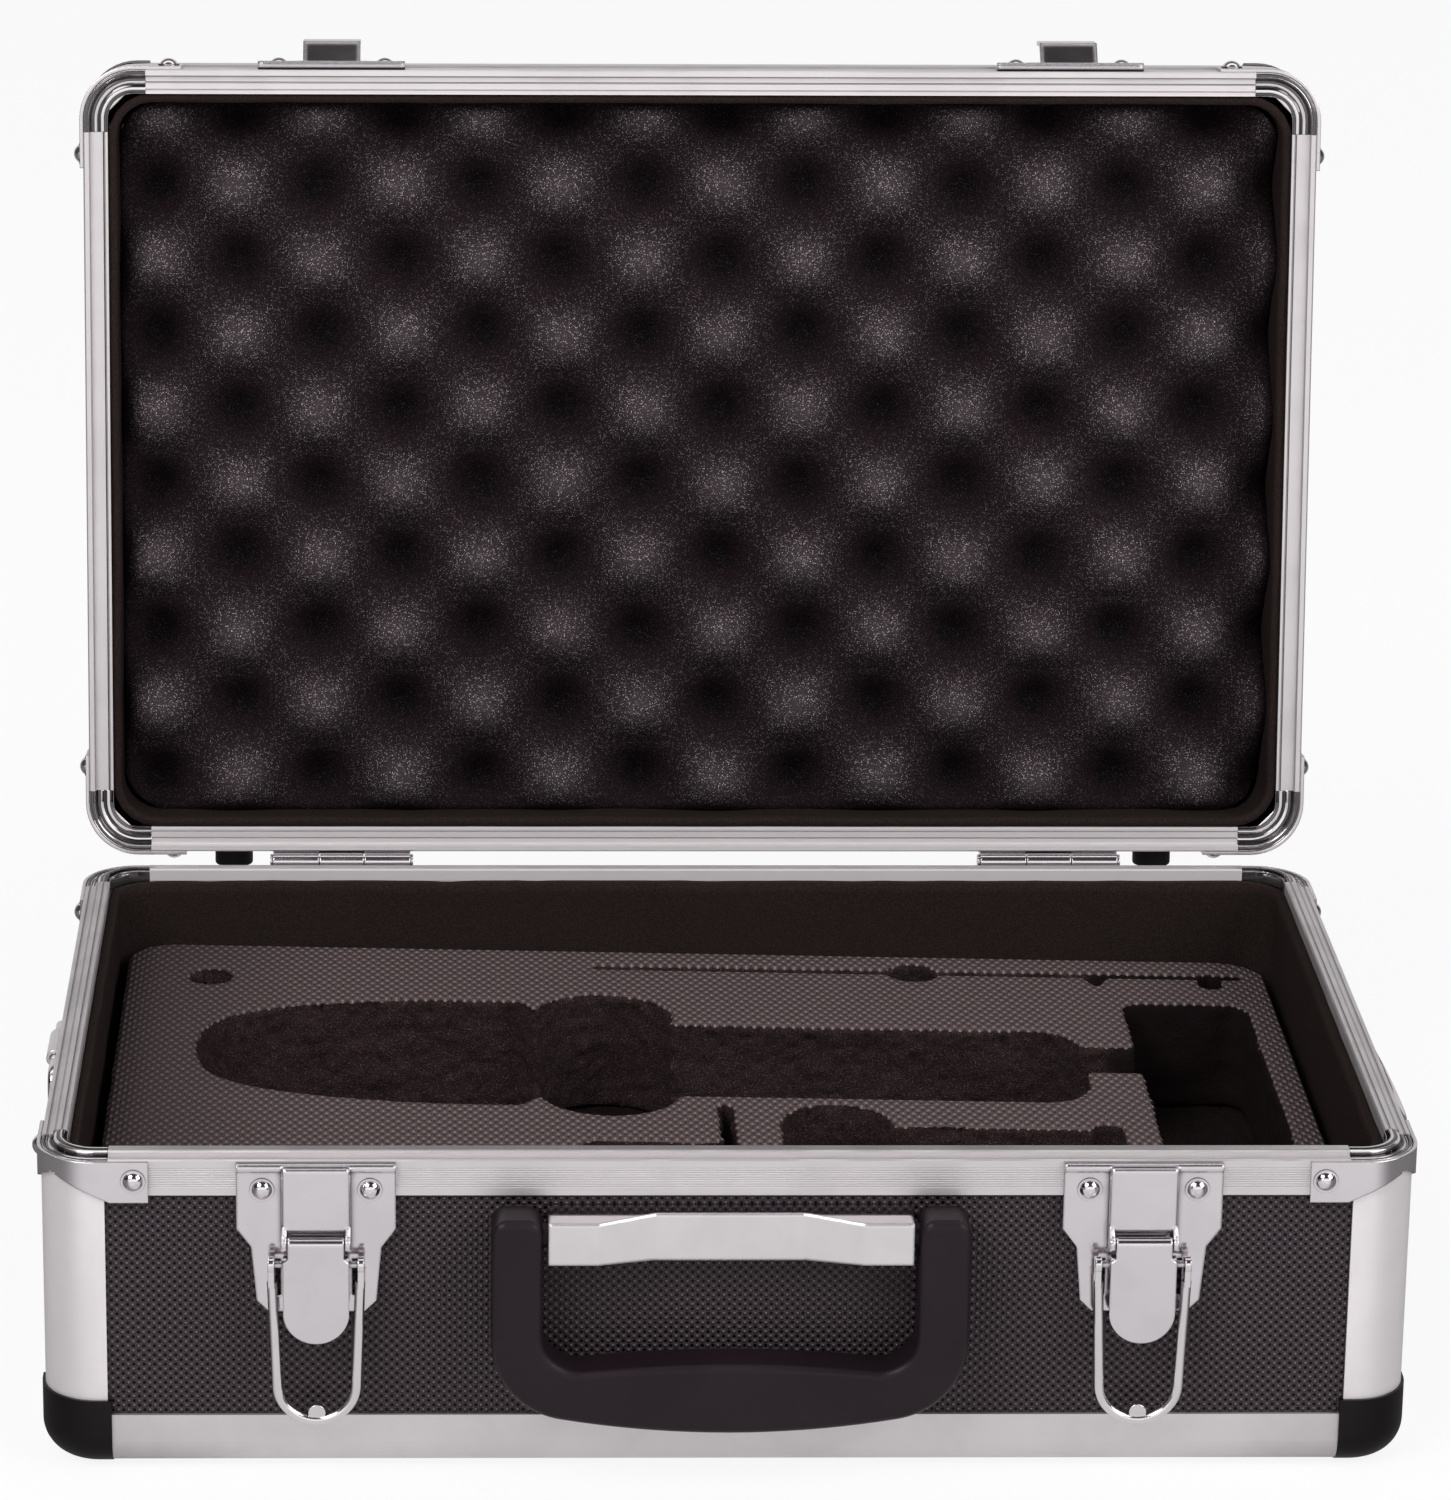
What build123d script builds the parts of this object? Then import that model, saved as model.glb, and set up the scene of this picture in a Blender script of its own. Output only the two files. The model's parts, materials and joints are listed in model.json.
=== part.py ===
from build123d import *
from math import acos, asin, atan2, cos, degrees, hypot, radians, sin
import os

# A small aluminium-framed tool case, drawn in millimetres with its lid shut and written with it open.
# X runs to the right, Y from the front to the back, Z up from the table.

# Driving dimensions of the box
case_width = 345.0
case_depth = 222.0
base_height = 84.6
lid_height = 36.0
open_angle = 97.6
corner_radius = 14.0
seam_gap = 0.3
fit_gap = 0.1

# Board panels and the aluminium sections that hold them
skin = 1.0
panel_thickness = 4.6
flat_panel_thickness = 3.0
rim_height = 9.5
rim_bridge = 2.65
rim_leg_depth = 6.0
tongue_inset = 2.9
tongue_height = 1.25
lip_width = 2.0
groove_depth = 1.7
rim_corner_reach = 17.5
post_flange = 16.5
edge_flange = 14.5
edge_radius = 7.0
edge_leg = 5.0

# Cast rim corners, steel corner brackets and plastic ball corners
ridge_height = 0.6
corner_web = 5.2
bracket_thickness = 1.0
bracket_reach = 27.5
bracket_height = 10.8
bracket_drop = 0.5
bracket_slope_start = 17.8
bracket_slope_rise = 8.6
bracket_rivet_inset = 23.8
bracket_rivet_drop = 5.0
ball_size = 17.5
ball_height = 18.5
ball_radius = 9.5
ball_wall = 1.7
ball_proud = 0.8

# Rivets and feet
rivet_radius = 3.0
rivet_height = 1.9
small_rivet_radius = 2.2
small_rivet_height = 1.2
foot_radius = 5.4
foot_height = 6.6
foot_inset = 40.5
base_foot_height = 26.0
lid_foot_height = 15.0

# Linings and foams
lining_thickness = 2.2
lining_radius = 10.0
lining_drop = 2.0
insert_top = 61.8
insert_thickness = 33.2
insert_side_gap = 2.9
insert_depth_gap = 0.9
insert_radius = 13.0
foam_gap = 0.3
egg_pitch_across = 45.5
egg_pitch_up = 42.4
egg_relief = 7.5
egg_cell_gap = 1.6
egg_taper = 38.0
egg_side_gap = 1.4
egg_depth_gap = 0.9
egg_first_across = 9.4
egg_first_up = 23.6
egg_peak_height = 8.0

# Cut-outs of the foam insert, measured from the middle of the case
neck_start = -51.0
grip_end_x = -138.5
grip_end_half = 19.5
grip_half = 39.0
grip_end_bow = 10.6
grip_end_swell = 6.0
grip_swell_x = -84.75
grip_swell_drop = 1.2
tool_line = 21.0
head_left = -46.0
head_right = -9.0
head_half = 45.5
head_shoulder = 32.0
body_line = 17.0
body_half = 26.4
body_end_x = 102.0
body_end_round = 12.0
channel_half = 9.6
channel_line = 22.6
tray_margin = 8.5
tray_width = 34.5
tray_front_margin = 29.0
tray_back_margin = 34.5
tray_round = 6.0
bit_hole_from_left = 23.5
bit_hole_from_back = 25.5
bit_hole_radius = 6.2
slit_from_back = 12.7
slit_width = 3.0
slit_length = 183.5
slit_from_right = 6.5
slit_hole_from_right = 99.8
slit_hole_radius = 7.2
slit_notch_from_right = 16.0
slit_notch_radius = 3.0
slit_nick_from_right = 48.5
slit_nick_width = 6.0
slit_nick_depth = 9.0
slit_nick_side = 9.5
front_strip = 39.0
front_pocket_left = 17.5
front_pocket_right = 107.5
front_pocket_back = -29.0
disc_x = 32.0
disc_radius = 15.0
stop_width = 7.5
stop_back = -25.6
card_left = -35.0
card_right = 5.3
card_back = -42.5
finger_width = 4.0
finger_back = -15.4

# Hinges
hinge_inset = 71.7
hinge_width = 39.0
hinge_leaf = 20.0
hinge_sheet = 1.2
hinge_offset = 2.9
knuckle_radius = 2.6
knuckle_gap = 0.25
hinge_pin_radius = 1.4
pin_head_radius = 2.1
pin_head = 0.8
pin_clearance = 0.05
hinge_rivet_spacing = 24.0

# Draw latches
latch_inset = 69.3
plate_half = 19.9
plate_sheet = 1.2
plate_top = 84.1
plate_bottom = 44.2
plate_shoulder = 66.5
plate_waist = 61.6
plate_waist_half = 16.3
plate_foot_half = 15.0
plate_foot_cut = 3.0
roll_radius = 1.2
latch_rivet_spacing = 26.9
latch_rivet_z = 77.0
slot_offset = 9.6
slot_width = 1.4
slot_length = 10.0
slot_middle = 53.5
bridge_half = 8.6
bridge_rise = 4.0
bridge_sheet = 1.0
bridge_bottom = 66.6
lever_pivot_out = 6.2
lever_pivot_z = 64.3
ear_radius = 2.0
ear_foot_low = 60.5
ear_foot_high = 70.0
small_pin_radius = 0.9
lever_sheet = 1.2
lever_neck_half = 7.0
lever_half = 8.25
lever_length = 26.1
lever_shoulder = 3.4
curl_radius = 1.8
bail_pivot_out = 5.6
bail_pivot_z = 58.7
lever_ear_length = 4.6
wire_radius = 1.3
bail_pivot_half = 11.2
bail_reach = 42.2
bail_arc = 9.95
bail_eye_radius = 2.0
bail_eye_thickness = 1.6
bail_eye_tail = 4.6
bail_tab_radius = 2.15
bail_tab_thickness = 1.6

# Catches on the lid
catch_half = 20.5
catch_low = 1.4
catch_high = 22.5
catch_shoulder = 11.0
catch_top_half = 12.0
catch_round = 2.5
catch_sheet = 1.1
hook_half = 8.0
hook_reach = 7.4
hook_start = 4.3
hook_bend = 9.5
hook_tip = 18.4
catch_rivet_spacing = 29.6
catch_rivet_height = 7.5

# Handle
bracket_end_gap = 1.4
bracket_low = 61.2
bracket_high = 72.2
bracket_middle_drop = 1.5
bracket_end_reach = 12.4
bracket_middle_reach = 5.5
bracket_end_flat = 12.5
bracket_middle_half = 18.5
bracket_sheet = 1.2
grip_pivot_out = 7.0
grip_pivot_z = 67.3
grip_outer_half = 59.6
grip_arm = 12.8
grip_top_rise = 5.7
grip_top_radius = 3.8
grip_corner_height = 40.0
grip_corner_radius = 21.0
grip_corner_turn = 80.0
grip_inner_height = 42.0
grip_inner_radius = 9.5
grip_inner_turn = 96.0
grip_thickness = 12.6
grip_edge_round = 2.0
peg_radius = 3.0
peg_length = 5.0

# Strap rings
ring_y = -4.0
ring_pivot_z = 73.2
ring_pivot_out = 2.0
ring_wire_radius = 1.3
ring_half = 20.0
ring_top_radius = 4.0
ring_corner_radius = 6.0
ring_bow_radius = 45.0
ring_drop = 19.5
ring_lean = 30.0
holder_length = 16.0
holder_low = 60.0
holder_sheet = 1.2
holder_barrel_radius = 2.4
holder_rivet_spacing = 9.0
holder_rivet_z = 66.0

# Places worked out from the sizes above
left = -case_width / 2
front = -case_depth / 2
parting = base_height
ledge = parting - seam_gap / 2
lid_seam = parting + seam_gap / 2
lid_top = parting + lid_height
shell_bottom = ball_proud
shell_top = lid_top - ball_proud
panel_face = skin + fit_gap
panel_back = panel_face + panel_thickness
rim_width = panel_back + fit_gap + skin
lining_face = rim_width + fit_gap
inner_length = case_width - 2 * (lining_face + lining_thickness)
inner_depth = case_depth - 2 * (lining_face + lining_thickness)
latch_spacing = case_width - 2 * latch_inset
hinge_spacing = case_width - 2 * hinge_inset
foot_spacing = case_width - 2 * foot_inset
panel_top = ledge - rim_bridge
lid_panel_low = lid_seam + rim_bridge + fit_gap
slot_end = edge_radius + 0.5
panel_bottom = shell_bottom + slot_end + fit_gap
lid_panel_high = shell_top - slot_end - fit_gap
floor_low = shell_bottom + skin + fit_gap
floor_slot = skin + 2 * fit_gap + flat_panel_thickness
floor_rest = shell_bottom + floor_slot + skin + fit_gap
lid_roof = shell_top - skin - fit_gap - flat_panel_thickness
roof_rest = lid_top - floor_rest
egg_middle = lid_seam + egg_peak_height + egg_relief
bridge_top = plate_top - 0.6
bracket_half = grip_outer_half - grip_arm - bracket_end_gap
insert_bottom = insert_top - insert_thickness
insert_length = inner_length - 2 * insert_side_gap
insert_depth = inner_depth - 2 * insert_depth_gap
insert_right = insert_length / 2
insert_back = insert_depth / 2
tray_right = insert_right - tray_margin
tray_left = tray_right - tray_width
tray_front = -insert_back + tray_front_margin
tray_back = insert_back - tray_back_margin
slit_y = insert_back - slit_from_back
slit_right = insert_right - slit_from_right
slit_left = slit_right - slit_length
front_edge_y = -insert_back + front_strip
egg_length = inner_length - 2 * egg_side_gap
egg_depth = inner_depth - 2 * egg_depth_gap
egg_first_x = -egg_length / 2 + egg_first_across
egg_first_y = -egg_depth / 2 + egg_first_up
hinge_y = case_depth / 2 + hinge_offset

# The frame's origin is on the table, under the middle of the open case's box
open_turn = radians(open_angle)
lid_far = case_depth + hinge_offset - ball_radius + ball_proud
lid_rise = lid_height - ball_radius
rear_reach = hinge_y - lid_far * cos(open_turn) + lid_rise * sin(open_turn) + ball_radius
front_reach = -front + max(bracket_end_reach, grip_pivot_out + grip_thickness / 2)
right_reach = ring_pivot_out + ring_drop * sin(radians(ring_lean)) + ring_wire_radius
left_reach = ring_pivot_out + holder_barrel_radius
FRAME = Location(((left_reach - right_reach) / 2, (front_reach - rear_reach) / 2, 0))
HINGE = Location((0, hinge_y, parting))
OPEN = HINGE * Location((0, 0, 0), (-open_angle, 0, 0)) * HINGE.inverse()

# Pieces of the lid that match the base's are the same ones turned over
TURN_OVER = Location((0, 0, lid_top), (180, 0, 0))
TURN_SEAM = Location((0, 0, 2 * parting), (180, 0, 0))
HINGE_TURN = Location((0, 0, 2 * parting)) * Location((0, 0, 0), (0, 180, 0))

os.makedirs("parts", exist_ok=True)


def save(piece, label, place=Location()):
    """Puts a copy of a finished piece in its place, names it and writes it."""
    piece.part.label = label
    placed = piece.part.moved(FRAME * place)
    placed.label = label
    export_step(placed, f"parts/{label}.step")


def front_plane(out=0.0):
    """A plane on the front face: its own x runs right and its own y up."""
    return Plane(origin=(0, front - out, 0), x_dir=(1, 0, 0), z_dir=(0, -1, 0))


def rear_plane(out=0.0):
    """A plane on the rear face, looking at it from behind."""
    return Plane(origin=(0, -front + out, 0), x_dir=(-1, 0, 0), z_dir=(0, 1, 0))


def right_plane(out=0.0):
    """A plane on the right face, looking at it from the right."""
    return Plane(origin=(-left + out, 0, 0), x_dir=(0, 1, 0), z_dir=(1, 0, 0))


def section_plane(x=0.0):
    """A plane across the case: its own x is the distance out from the front face, its own y is the height."""
    return Plane(origin=(x, front, 0), x_dir=(0, -1, 0), z_dir=(-1, 0, 0))


def long_section():
    """The cross-section plane at the left end of a front rim: its own x is the depth into the wall."""
    return Plane(origin=(left + rim_corner_reach, front, 0), x_dir=(0, 1, 0), z_dir=(1, 0, 0))


def side_section():
    """The cross-section plane at the rear end of a left rim: its own x is the depth into the wall."""
    return Plane(origin=(left, -front - rim_corner_reach, 0), x_dir=(1, 0, 0), z_dir=(0, -1, 0))


def corner_section():
    """The cross-section plane where the front left rim corner starts, on the left wall."""
    return Plane(origin=(left, front + rim_corner_reach, 0), x_dir=(1, 0, 0), z_dir=(0, -1, 0))


def mirror_to_four():
    """Repeats what is drawn at the front left corner at the other three."""
    mirror(about=Plane.YZ)
    mirror(about=Plane.XZ)


# Wall panels
def long_board(low, high):
    """The board of the front wall, between two heights."""
    with BuildPart() as board:
        with Locations((0, front + panel_face + panel_thickness / 2, (low + high) / 2)):
            Box(case_width - 2 * corner_radius, panel_thickness, high - low)
    return board


def side_board(low, high):
    """The board of the left wall, between two heights."""
    with BuildPart() as board:
        with Locations((left + panel_face + panel_thickness / 2, 0, (low + high) / 2)):
            Box(panel_thickness, case_depth - 2 * corner_radius, high - low)
    return board


def flat_panel(low):
    """The board that closes the bottom of the base or the top of the lid."""
    inset = slot_end + fit_gap
    with BuildPart() as board:
        with BuildSketch(Plane.XY.offset(low)):
            RectangleRounded(case_width - 2 * inset, case_depth - 2 * inset, corner_radius - inset)
        extrude(amount=flat_panel_thickness)
    return board


to_rear = Location((0, case_depth - 2 * panel_face - panel_thickness, 0))
to_right = Location((case_width - 2 * panel_face - panel_thickness, 0, 0))
base_long = long_board(panel_bottom, panel_top - fit_gap)
base_side = side_board(panel_bottom, panel_top - fit_gap)
save(base_long, "base_front_panel")
save(base_long, "base_rear_panel", to_rear)
save(base_side, "base_left_panel")
save(base_side, "base_right_panel", to_right)
save(flat_panel(floor_low), "base_bottom_panel")
lid_long = long_board(lid_panel_low, lid_panel_high)
lid_side = side_board(lid_panel_low, lid_panel_high)
save(lid_long, "lid_front_panel", OPEN)
save(lid_long, "lid_rear_panel", OPEN * to_rear)
save(lid_side, "lid_left_panel", OPEN)
save(lid_side, "lid_right_panel", OPEN * to_right)
save(flat_panel(lid_roof), "lid_top_panel", OPEN)


# Rim extrusions: a tongue round the base that fits a groove round the lid
def base_rim_outline():
    """The base rim's section, as depth into the wall against height."""
    top = ledge + tongue_height
    soft = 0.4
    with BuildLine() as outline:
        Polyline(
            (0, ledge - rim_height),
            (0, ledge - soft),
            (soft, ledge),
            (tongue_inset, ledge),
            (tongue_inset, top - soft),
            (tongue_inset + soft, top),
            (rim_width - soft, top),
            (rim_width, top - soft),
            (rim_width, ledge - rim_leg_depth),
            (rim_width - skin, ledge - rim_leg_depth),
            (rim_width - skin, panel_top),
            (skin, panel_top),
            (skin, ledge - rim_height),
            close=True,
        )
    make_face(outline.edges())


def lid_rim_outline():
    """The lid rim's section, with the lip outside and the groove for the tongue inside it."""
    soft = 0.4
    inner_lip = 1.0
    roof = lid_seam + groove_depth
    with BuildLine() as outline:
        Polyline(
            (0, lid_seam + rim_height),
            (0, lid_seam + soft),
            (soft, lid_seam),
            (lip_width - soft, lid_seam),
            (lip_width, lid_seam + soft),
            (lip_width, roof),
            (rim_width - inner_lip - soft, roof),
            (rim_width - inner_lip, roof + soft),
            (rim_width - inner_lip, roof - soft),
            (rim_width, roof - soft),
            (rim_width, lid_seam + rim_leg_depth),
            (rim_width - skin, lid_seam + rim_leg_depth),
            (rim_width - skin, lid_seam + rim_bridge),
            (skin, lid_seam + rim_bridge),
            (skin, lid_seam + rim_height),
            close=True,
        )
    make_face(outline.edges())


def rims(outline, on_long_walls):
    """The two straight rims of the long or the short walls."""
    length = (case_width if on_long_walls else case_depth) - 2 * rim_corner_reach
    with BuildPart() as pair:
        with BuildSketch(long_section() if on_long_walls else side_section()):
            outline()
        extrude(amount=length)
        mirror(about=Plane.XZ if on_long_walls else Plane.YZ)
    return pair


for owner, outline, place in (("base", base_rim_outline, Location()), ("lid", lid_rim_outline, OPEN)):
    save(rims(outline, True), f"{owner}_long_rims", place)
    save(rims(outline, False), f"{owner}_side_rims", place)


# Cast corners of the rims
def corner_path():
    """The outer edge of the rim round the front left corner, from the left wall to the front."""
    middle = (left + corner_radius, front + corner_radius)
    with BuildLine() as path:
        Line((left, front + rim_corner_reach), (left, middle[1]))
        CenterArc(middle, corner_radius, 180, 90)
        Line((middle[0], front), (left + rim_corner_reach, front))
    return path


def base_corner_outline():
    """Rounded ridges that carry the tongue round the corner."""
    low = panel_top
    valley = ledge - ridge_height - 0.2
    top = ledge + tongue_height - ridge_height
    with BuildLine() as outline:
        Line((0, low), (0, valley))
        ThreePointArc((0, valley), (0.8, ledge - 0.2), (1.6, valley))
        ThreePointArc((1.6, valley), (2.4, ledge - 0.3), (3.3, valley))
        Line((3.3, valley), (3.3, top))
        ThreePointArc((3.3, top), (5.1, top + ridge_height), (rim_width, top))
        Line((rim_width, top), (rim_width, low))
        Line((rim_width, low), (0, low))
    make_face(outline.edges())


def lid_corner_outline():
    """Rounded ridges that meet the base's corner, with room for its tongue."""
    high = lid_seam + rim_bridge
    lip = lid_seam + ridge_height
    roof = lid_seam + groove_depth + 0.2
    with BuildLine() as outline:
        Line((0, high), (0, lip))
        ThreePointArc((0, lip), (0.9, lid_seam), (1.8, lip))
        Line((1.8, lip), (1.8, roof))
        ThreePointArc((1.8, roof), (3.0, roof - 0.4), (4.2, roof))
        ThreePointArc((4.2, roof), (5.5, roof - 0.4), (rim_width, roof))
        Line((rim_width, roof), (rim_width, high))
        Line((rim_width, high), (0, high))
    make_face(outline.edges())


def rim_corners(outline, web_low, web_high):
    """Four castings, each swept round its corner and closed inside by a bevelled web."""
    path = corner_path()
    inner = (left + rim_width - 0.5, front + rim_width - 0.5)
    with BuildPart() as castings:
        with BuildSketch(corner_section()):
            outline()
        sweep(path=path.wire())
        with BuildSketch(Plane.XY.offset(web_low)):
            with BuildLine():
                Polyline(
                    inner,
                    (inner[0] + corner_web + 1, inner[1]),
                    (inner[0], inner[1] + corner_web + 1),
                    close=True,
                )
            make_face()
        extrude(amount=web_high - web_low)
        mirror_to_four()
    return castings


save(rim_corners(base_corner_outline, panel_top, ledge - 0.2), "base_rim_corners")
save(
    rim_corners(lid_corner_outline, lid_seam + groove_depth, lid_seam + rim_bridge),
    "lid_rim_corners",
    OPEN,
)


# Corner posts
def corner_band(outer, inner, reach):
    """A strip round the front left corner in plan, between two depths into the wall."""
    x = left + corner_radius
    y = front + corner_radius
    with BuildLine() as outline:
        Line((left + reach, front + outer), (x, front + outer))
        CenterArc((x, y), corner_radius - outer, 270, -90)
        Line((left + outer, y), (left + outer, front + reach))
        Line((left + outer, front + reach), (left + inner, front + reach))
        Line((left + inner, front + reach), (left + inner, y))
        CenterArc((x, y), corner_radius - inner, 180, 90)
        Line((x, front + inner), (left + reach, front + inner))
        Line((left + reach, front + inner), (left + reach, front + outer))
    make_face(outline.edges())


def posts(low, high):
    """Four rounded upright sections."""
    with BuildPart() as uprights:
        with BuildSketch(Plane.XY.offset(low)):
            corner_band(0, skin, post_flange)
        extrude(amount=high - low)
        mirror_to_four()
    return uprights


save(posts(shell_bottom + ball_height, panel_top - fit_gap), "base_corner_posts")
save(posts(lid_panel_low, shell_top - ball_height), "lid_corner_posts", OPEN)


# Edge sections round the bottom of the base and the top of the lid
def edge_outline():
    """A rounded angle with a slot for each of the two boards that it joins."""
    r = edge_radius
    wall_slot = panel_back + fit_gap
    with BuildLine() as outline:
        Line((0, edge_flange), (0, r))
        CenterArc((r, r), r, 180, 90)
        Polyline(
            (r, 0),
            (edge_flange, 0),
            (edge_flange, skin),
            (slot_end, skin),
            (slot_end, floor_slot),
            (slot_end + edge_leg, floor_slot),
            (slot_end + edge_leg, floor_slot + skin),
            (wall_slot + skin, floor_slot + skin),
            (wall_slot + skin, slot_end + edge_leg),
            (wall_slot, slot_end + edge_leg),
            (wall_slot, slot_end),
            (skin, slot_end),
            (skin, edge_flange),
            (0, edge_flange),
        )
    make_face(outline.edges())


def edge_sections():
    """The four rounded edge sections, round the bottom of the base."""
    front_end = Plane(origin=(left + ball_size, front, shell_bottom), x_dir=(0, 1, 0), z_dir=(1, 0, 0))
    left_end = Plane(origin=(left, -front - ball_size, shell_bottom), x_dir=(1, 0, 0), z_dir=(0, -1, 0))
    with BuildPart() as sections:
        with BuildSketch(front_end):
            edge_outline()
        extrude(amount=case_width - 2 * ball_size)
        with BuildSketch(left_end):
            edge_outline()
        extrude(amount=case_depth - 2 * ball_size)
        mirror_to_four()
    return sections


bottom_edges = edge_sections()
save(bottom_edges, "base_bottom_edges")
save(bottom_edges, "lid_top_edges", OPEN * TURN_OVER)


# Ball corners
with BuildPart() as ball_corners:
    with BuildSketch(Plane.XY):
        RectangleRounded(
            case_width + 2 * ball_proud,
            case_depth + 2 * ball_proud,
            corner_radius + ball_proud,
        )
    extrude(amount=ball_proud + ball_height)
    fillet(ball_corners.faces().sort_by(Axis.Z)[0].edges(), radius=ball_radius)
    offset(amount=-ball_wall, openings=ball_corners.faces().sort_by(Axis.Z)[-1])
    Box(case_width - 2 * ball_size, 2 * case_depth, 4 * ball_height, mode=Mode.SUBTRACT)
    Box(2 * case_width, case_depth - 2 * ball_size, 4 * ball_height, mode=Mode.SUBTRACT)
save(ball_corners, "base_ball_corners")
save(ball_corners, "lid_ball_corners", OPEN * TURN_OVER)


# Steel corner brackets on both sides of the seam
with BuildPart() as corner_brackets:
    with BuildSketch(Plane.XY.offset(parting - bracket_drop - bracket_height)):
        corner_band(-bracket_thickness, 0, bracket_reach)
    extrude(amount=bracket_height)
    slope = (
        (-bracket_thickness, parting - bracket_drop - bracket_height - 1),
        (bracket_slope_start, parting - bracket_drop - bracket_height - 1),
        (bracket_slope_start, parting - bracket_drop - bracket_height),
        (-bracket_thickness, parting - bracket_drop - bracket_height + bracket_slope_rise),
    )
    front_view = Plane(origin=(left, front - bracket_thickness, 0), x_dir=(1, 0, 0), z_dir=(0, -1, 0))
    side_view = Plane(origin=(left - bracket_thickness, front, 0), x_dir=(0, 1, 0), z_dir=(1, 0, 0))
    half_turn = bracket_thickness + corner_radius * (1 - cos(radians(45)))
    with BuildSketch(front_view):
        with BuildLine():
            Polyline(*slope, close=True)
        make_face()
    extrude(amount=-half_turn, mode=Mode.SUBTRACT)
    with BuildSketch(side_view):
        with BuildLine():
            Polyline(*slope, close=True)
        make_face()
    extrude(amount=half_turn, mode=Mode.SUBTRACT)
    mirror_to_four()
save(corner_brackets, "base_corner_brackets")
save(corner_brackets, "lid_corner_brackets", OPEN * TURN_SEAM)


# Rivet heads, drawn once for each size
def rivet_head(radius, height):
    """A domed head on a thin collar, standing on the ground plane."""
    collar = 0.4
    crown = 0.85 * radius
    rise = height - collar
    dome = (crown**2 + rise**2) / (2 * rise)
    with BuildPart() as head:
        with Locations((0, 0, height - dome)):
            Sphere(dome)
        Cylinder(radius, collar, align=(Align.CENTER, Align.CENTER, Align.MIN))
        below = (Align.CENTER, Align.CENTER, Align.MAX)
        Box(3 * radius, 3 * radius, 3 * radius, align=below, mode=Mode.SUBTRACT)
    return head


large_head = rivet_head(rivet_radius, rivet_height)
small_head = rivet_head(small_rivet_radius, small_rivet_height)


with BuildPart() as corner_rivets:
    corner_rivet_z = parting - bracket_drop - bracket_rivet_drop
    front_rivet = (left + bracket_rivet_inset, corner_rivet_z)
    side_rivet = (front + bracket_rivet_inset, corner_rivet_z)
    with Locations(front_plane(bracket_thickness)):
        with Locations(front_rivet):
            add(large_head.part)
    with Locations(right_plane(bracket_thickness)):
        with Locations(side_rivet):
            add(large_head.part)
    mirror_to_four()
save(corner_rivets, "base_corner_rivets")
save(corner_rivets, "lid_corner_rivets", OPEN * TURN_SEAM)


# Linings and foams
def lining(low, high):
    """A thin board round the inside of the walls."""
    with BuildPart() as band:
        with BuildSketch(Plane.XY.offset(low)):
            RectangleRounded(
                case_width - 2 * lining_face,
                case_depth - 2 * lining_face,
                lining_radius + lining_thickness,
            )
            RectangleRounded(inner_length, inner_depth, lining_radius, mode=Mode.SUBTRACT)
        extrude(amount=high - low)
    return band


save(lining(floor_rest, ledge - lining_drop), "base_lining")
save(lining(lid_seam + lining_drop, roof_rest), "lid_lining", OPEN)

with BuildPart() as base_pad:
    with BuildSketch(Plane.XY.offset(floor_rest)):
        RectangleRounded(insert_length, insert_depth, insert_radius)
    extrude(amount=insert_bottom - floor_rest)
save(base_pad, "base_pad")


def machine_cutout():
    """The opening for the grinder: its grip, its head and its body, up to the neck."""
    with BuildLine() as outline:
        Spline(
            (grip_end_x, tool_line),
            (grip_end_x + grip_end_bow, tool_line + grip_end_half + grip_end_swell),
            (grip_swell_x, tool_line + grip_half - grip_swell_drop),
            (neck_start, tool_line + grip_half),
            tangents=((0, 1), (1, 0)),
        )
        Line((neck_start, tool_line + grip_half), (head_left, tool_line + head_shoulder))
        ThreePointArc(
            (head_left, tool_line + head_shoulder),
            ((head_left + head_right) / 2, tool_line + head_half),
            (head_right, tool_line + head_shoulder),
        )
        Line((head_right, tool_line + head_shoulder), (head_right, tool_line))
        Line((head_right, tool_line), (grip_end_x, tool_line))
    upper_half = make_face(outline.edges())
    mirror(upper_half, about=Plane.XZ.offset(-tool_line))


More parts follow.
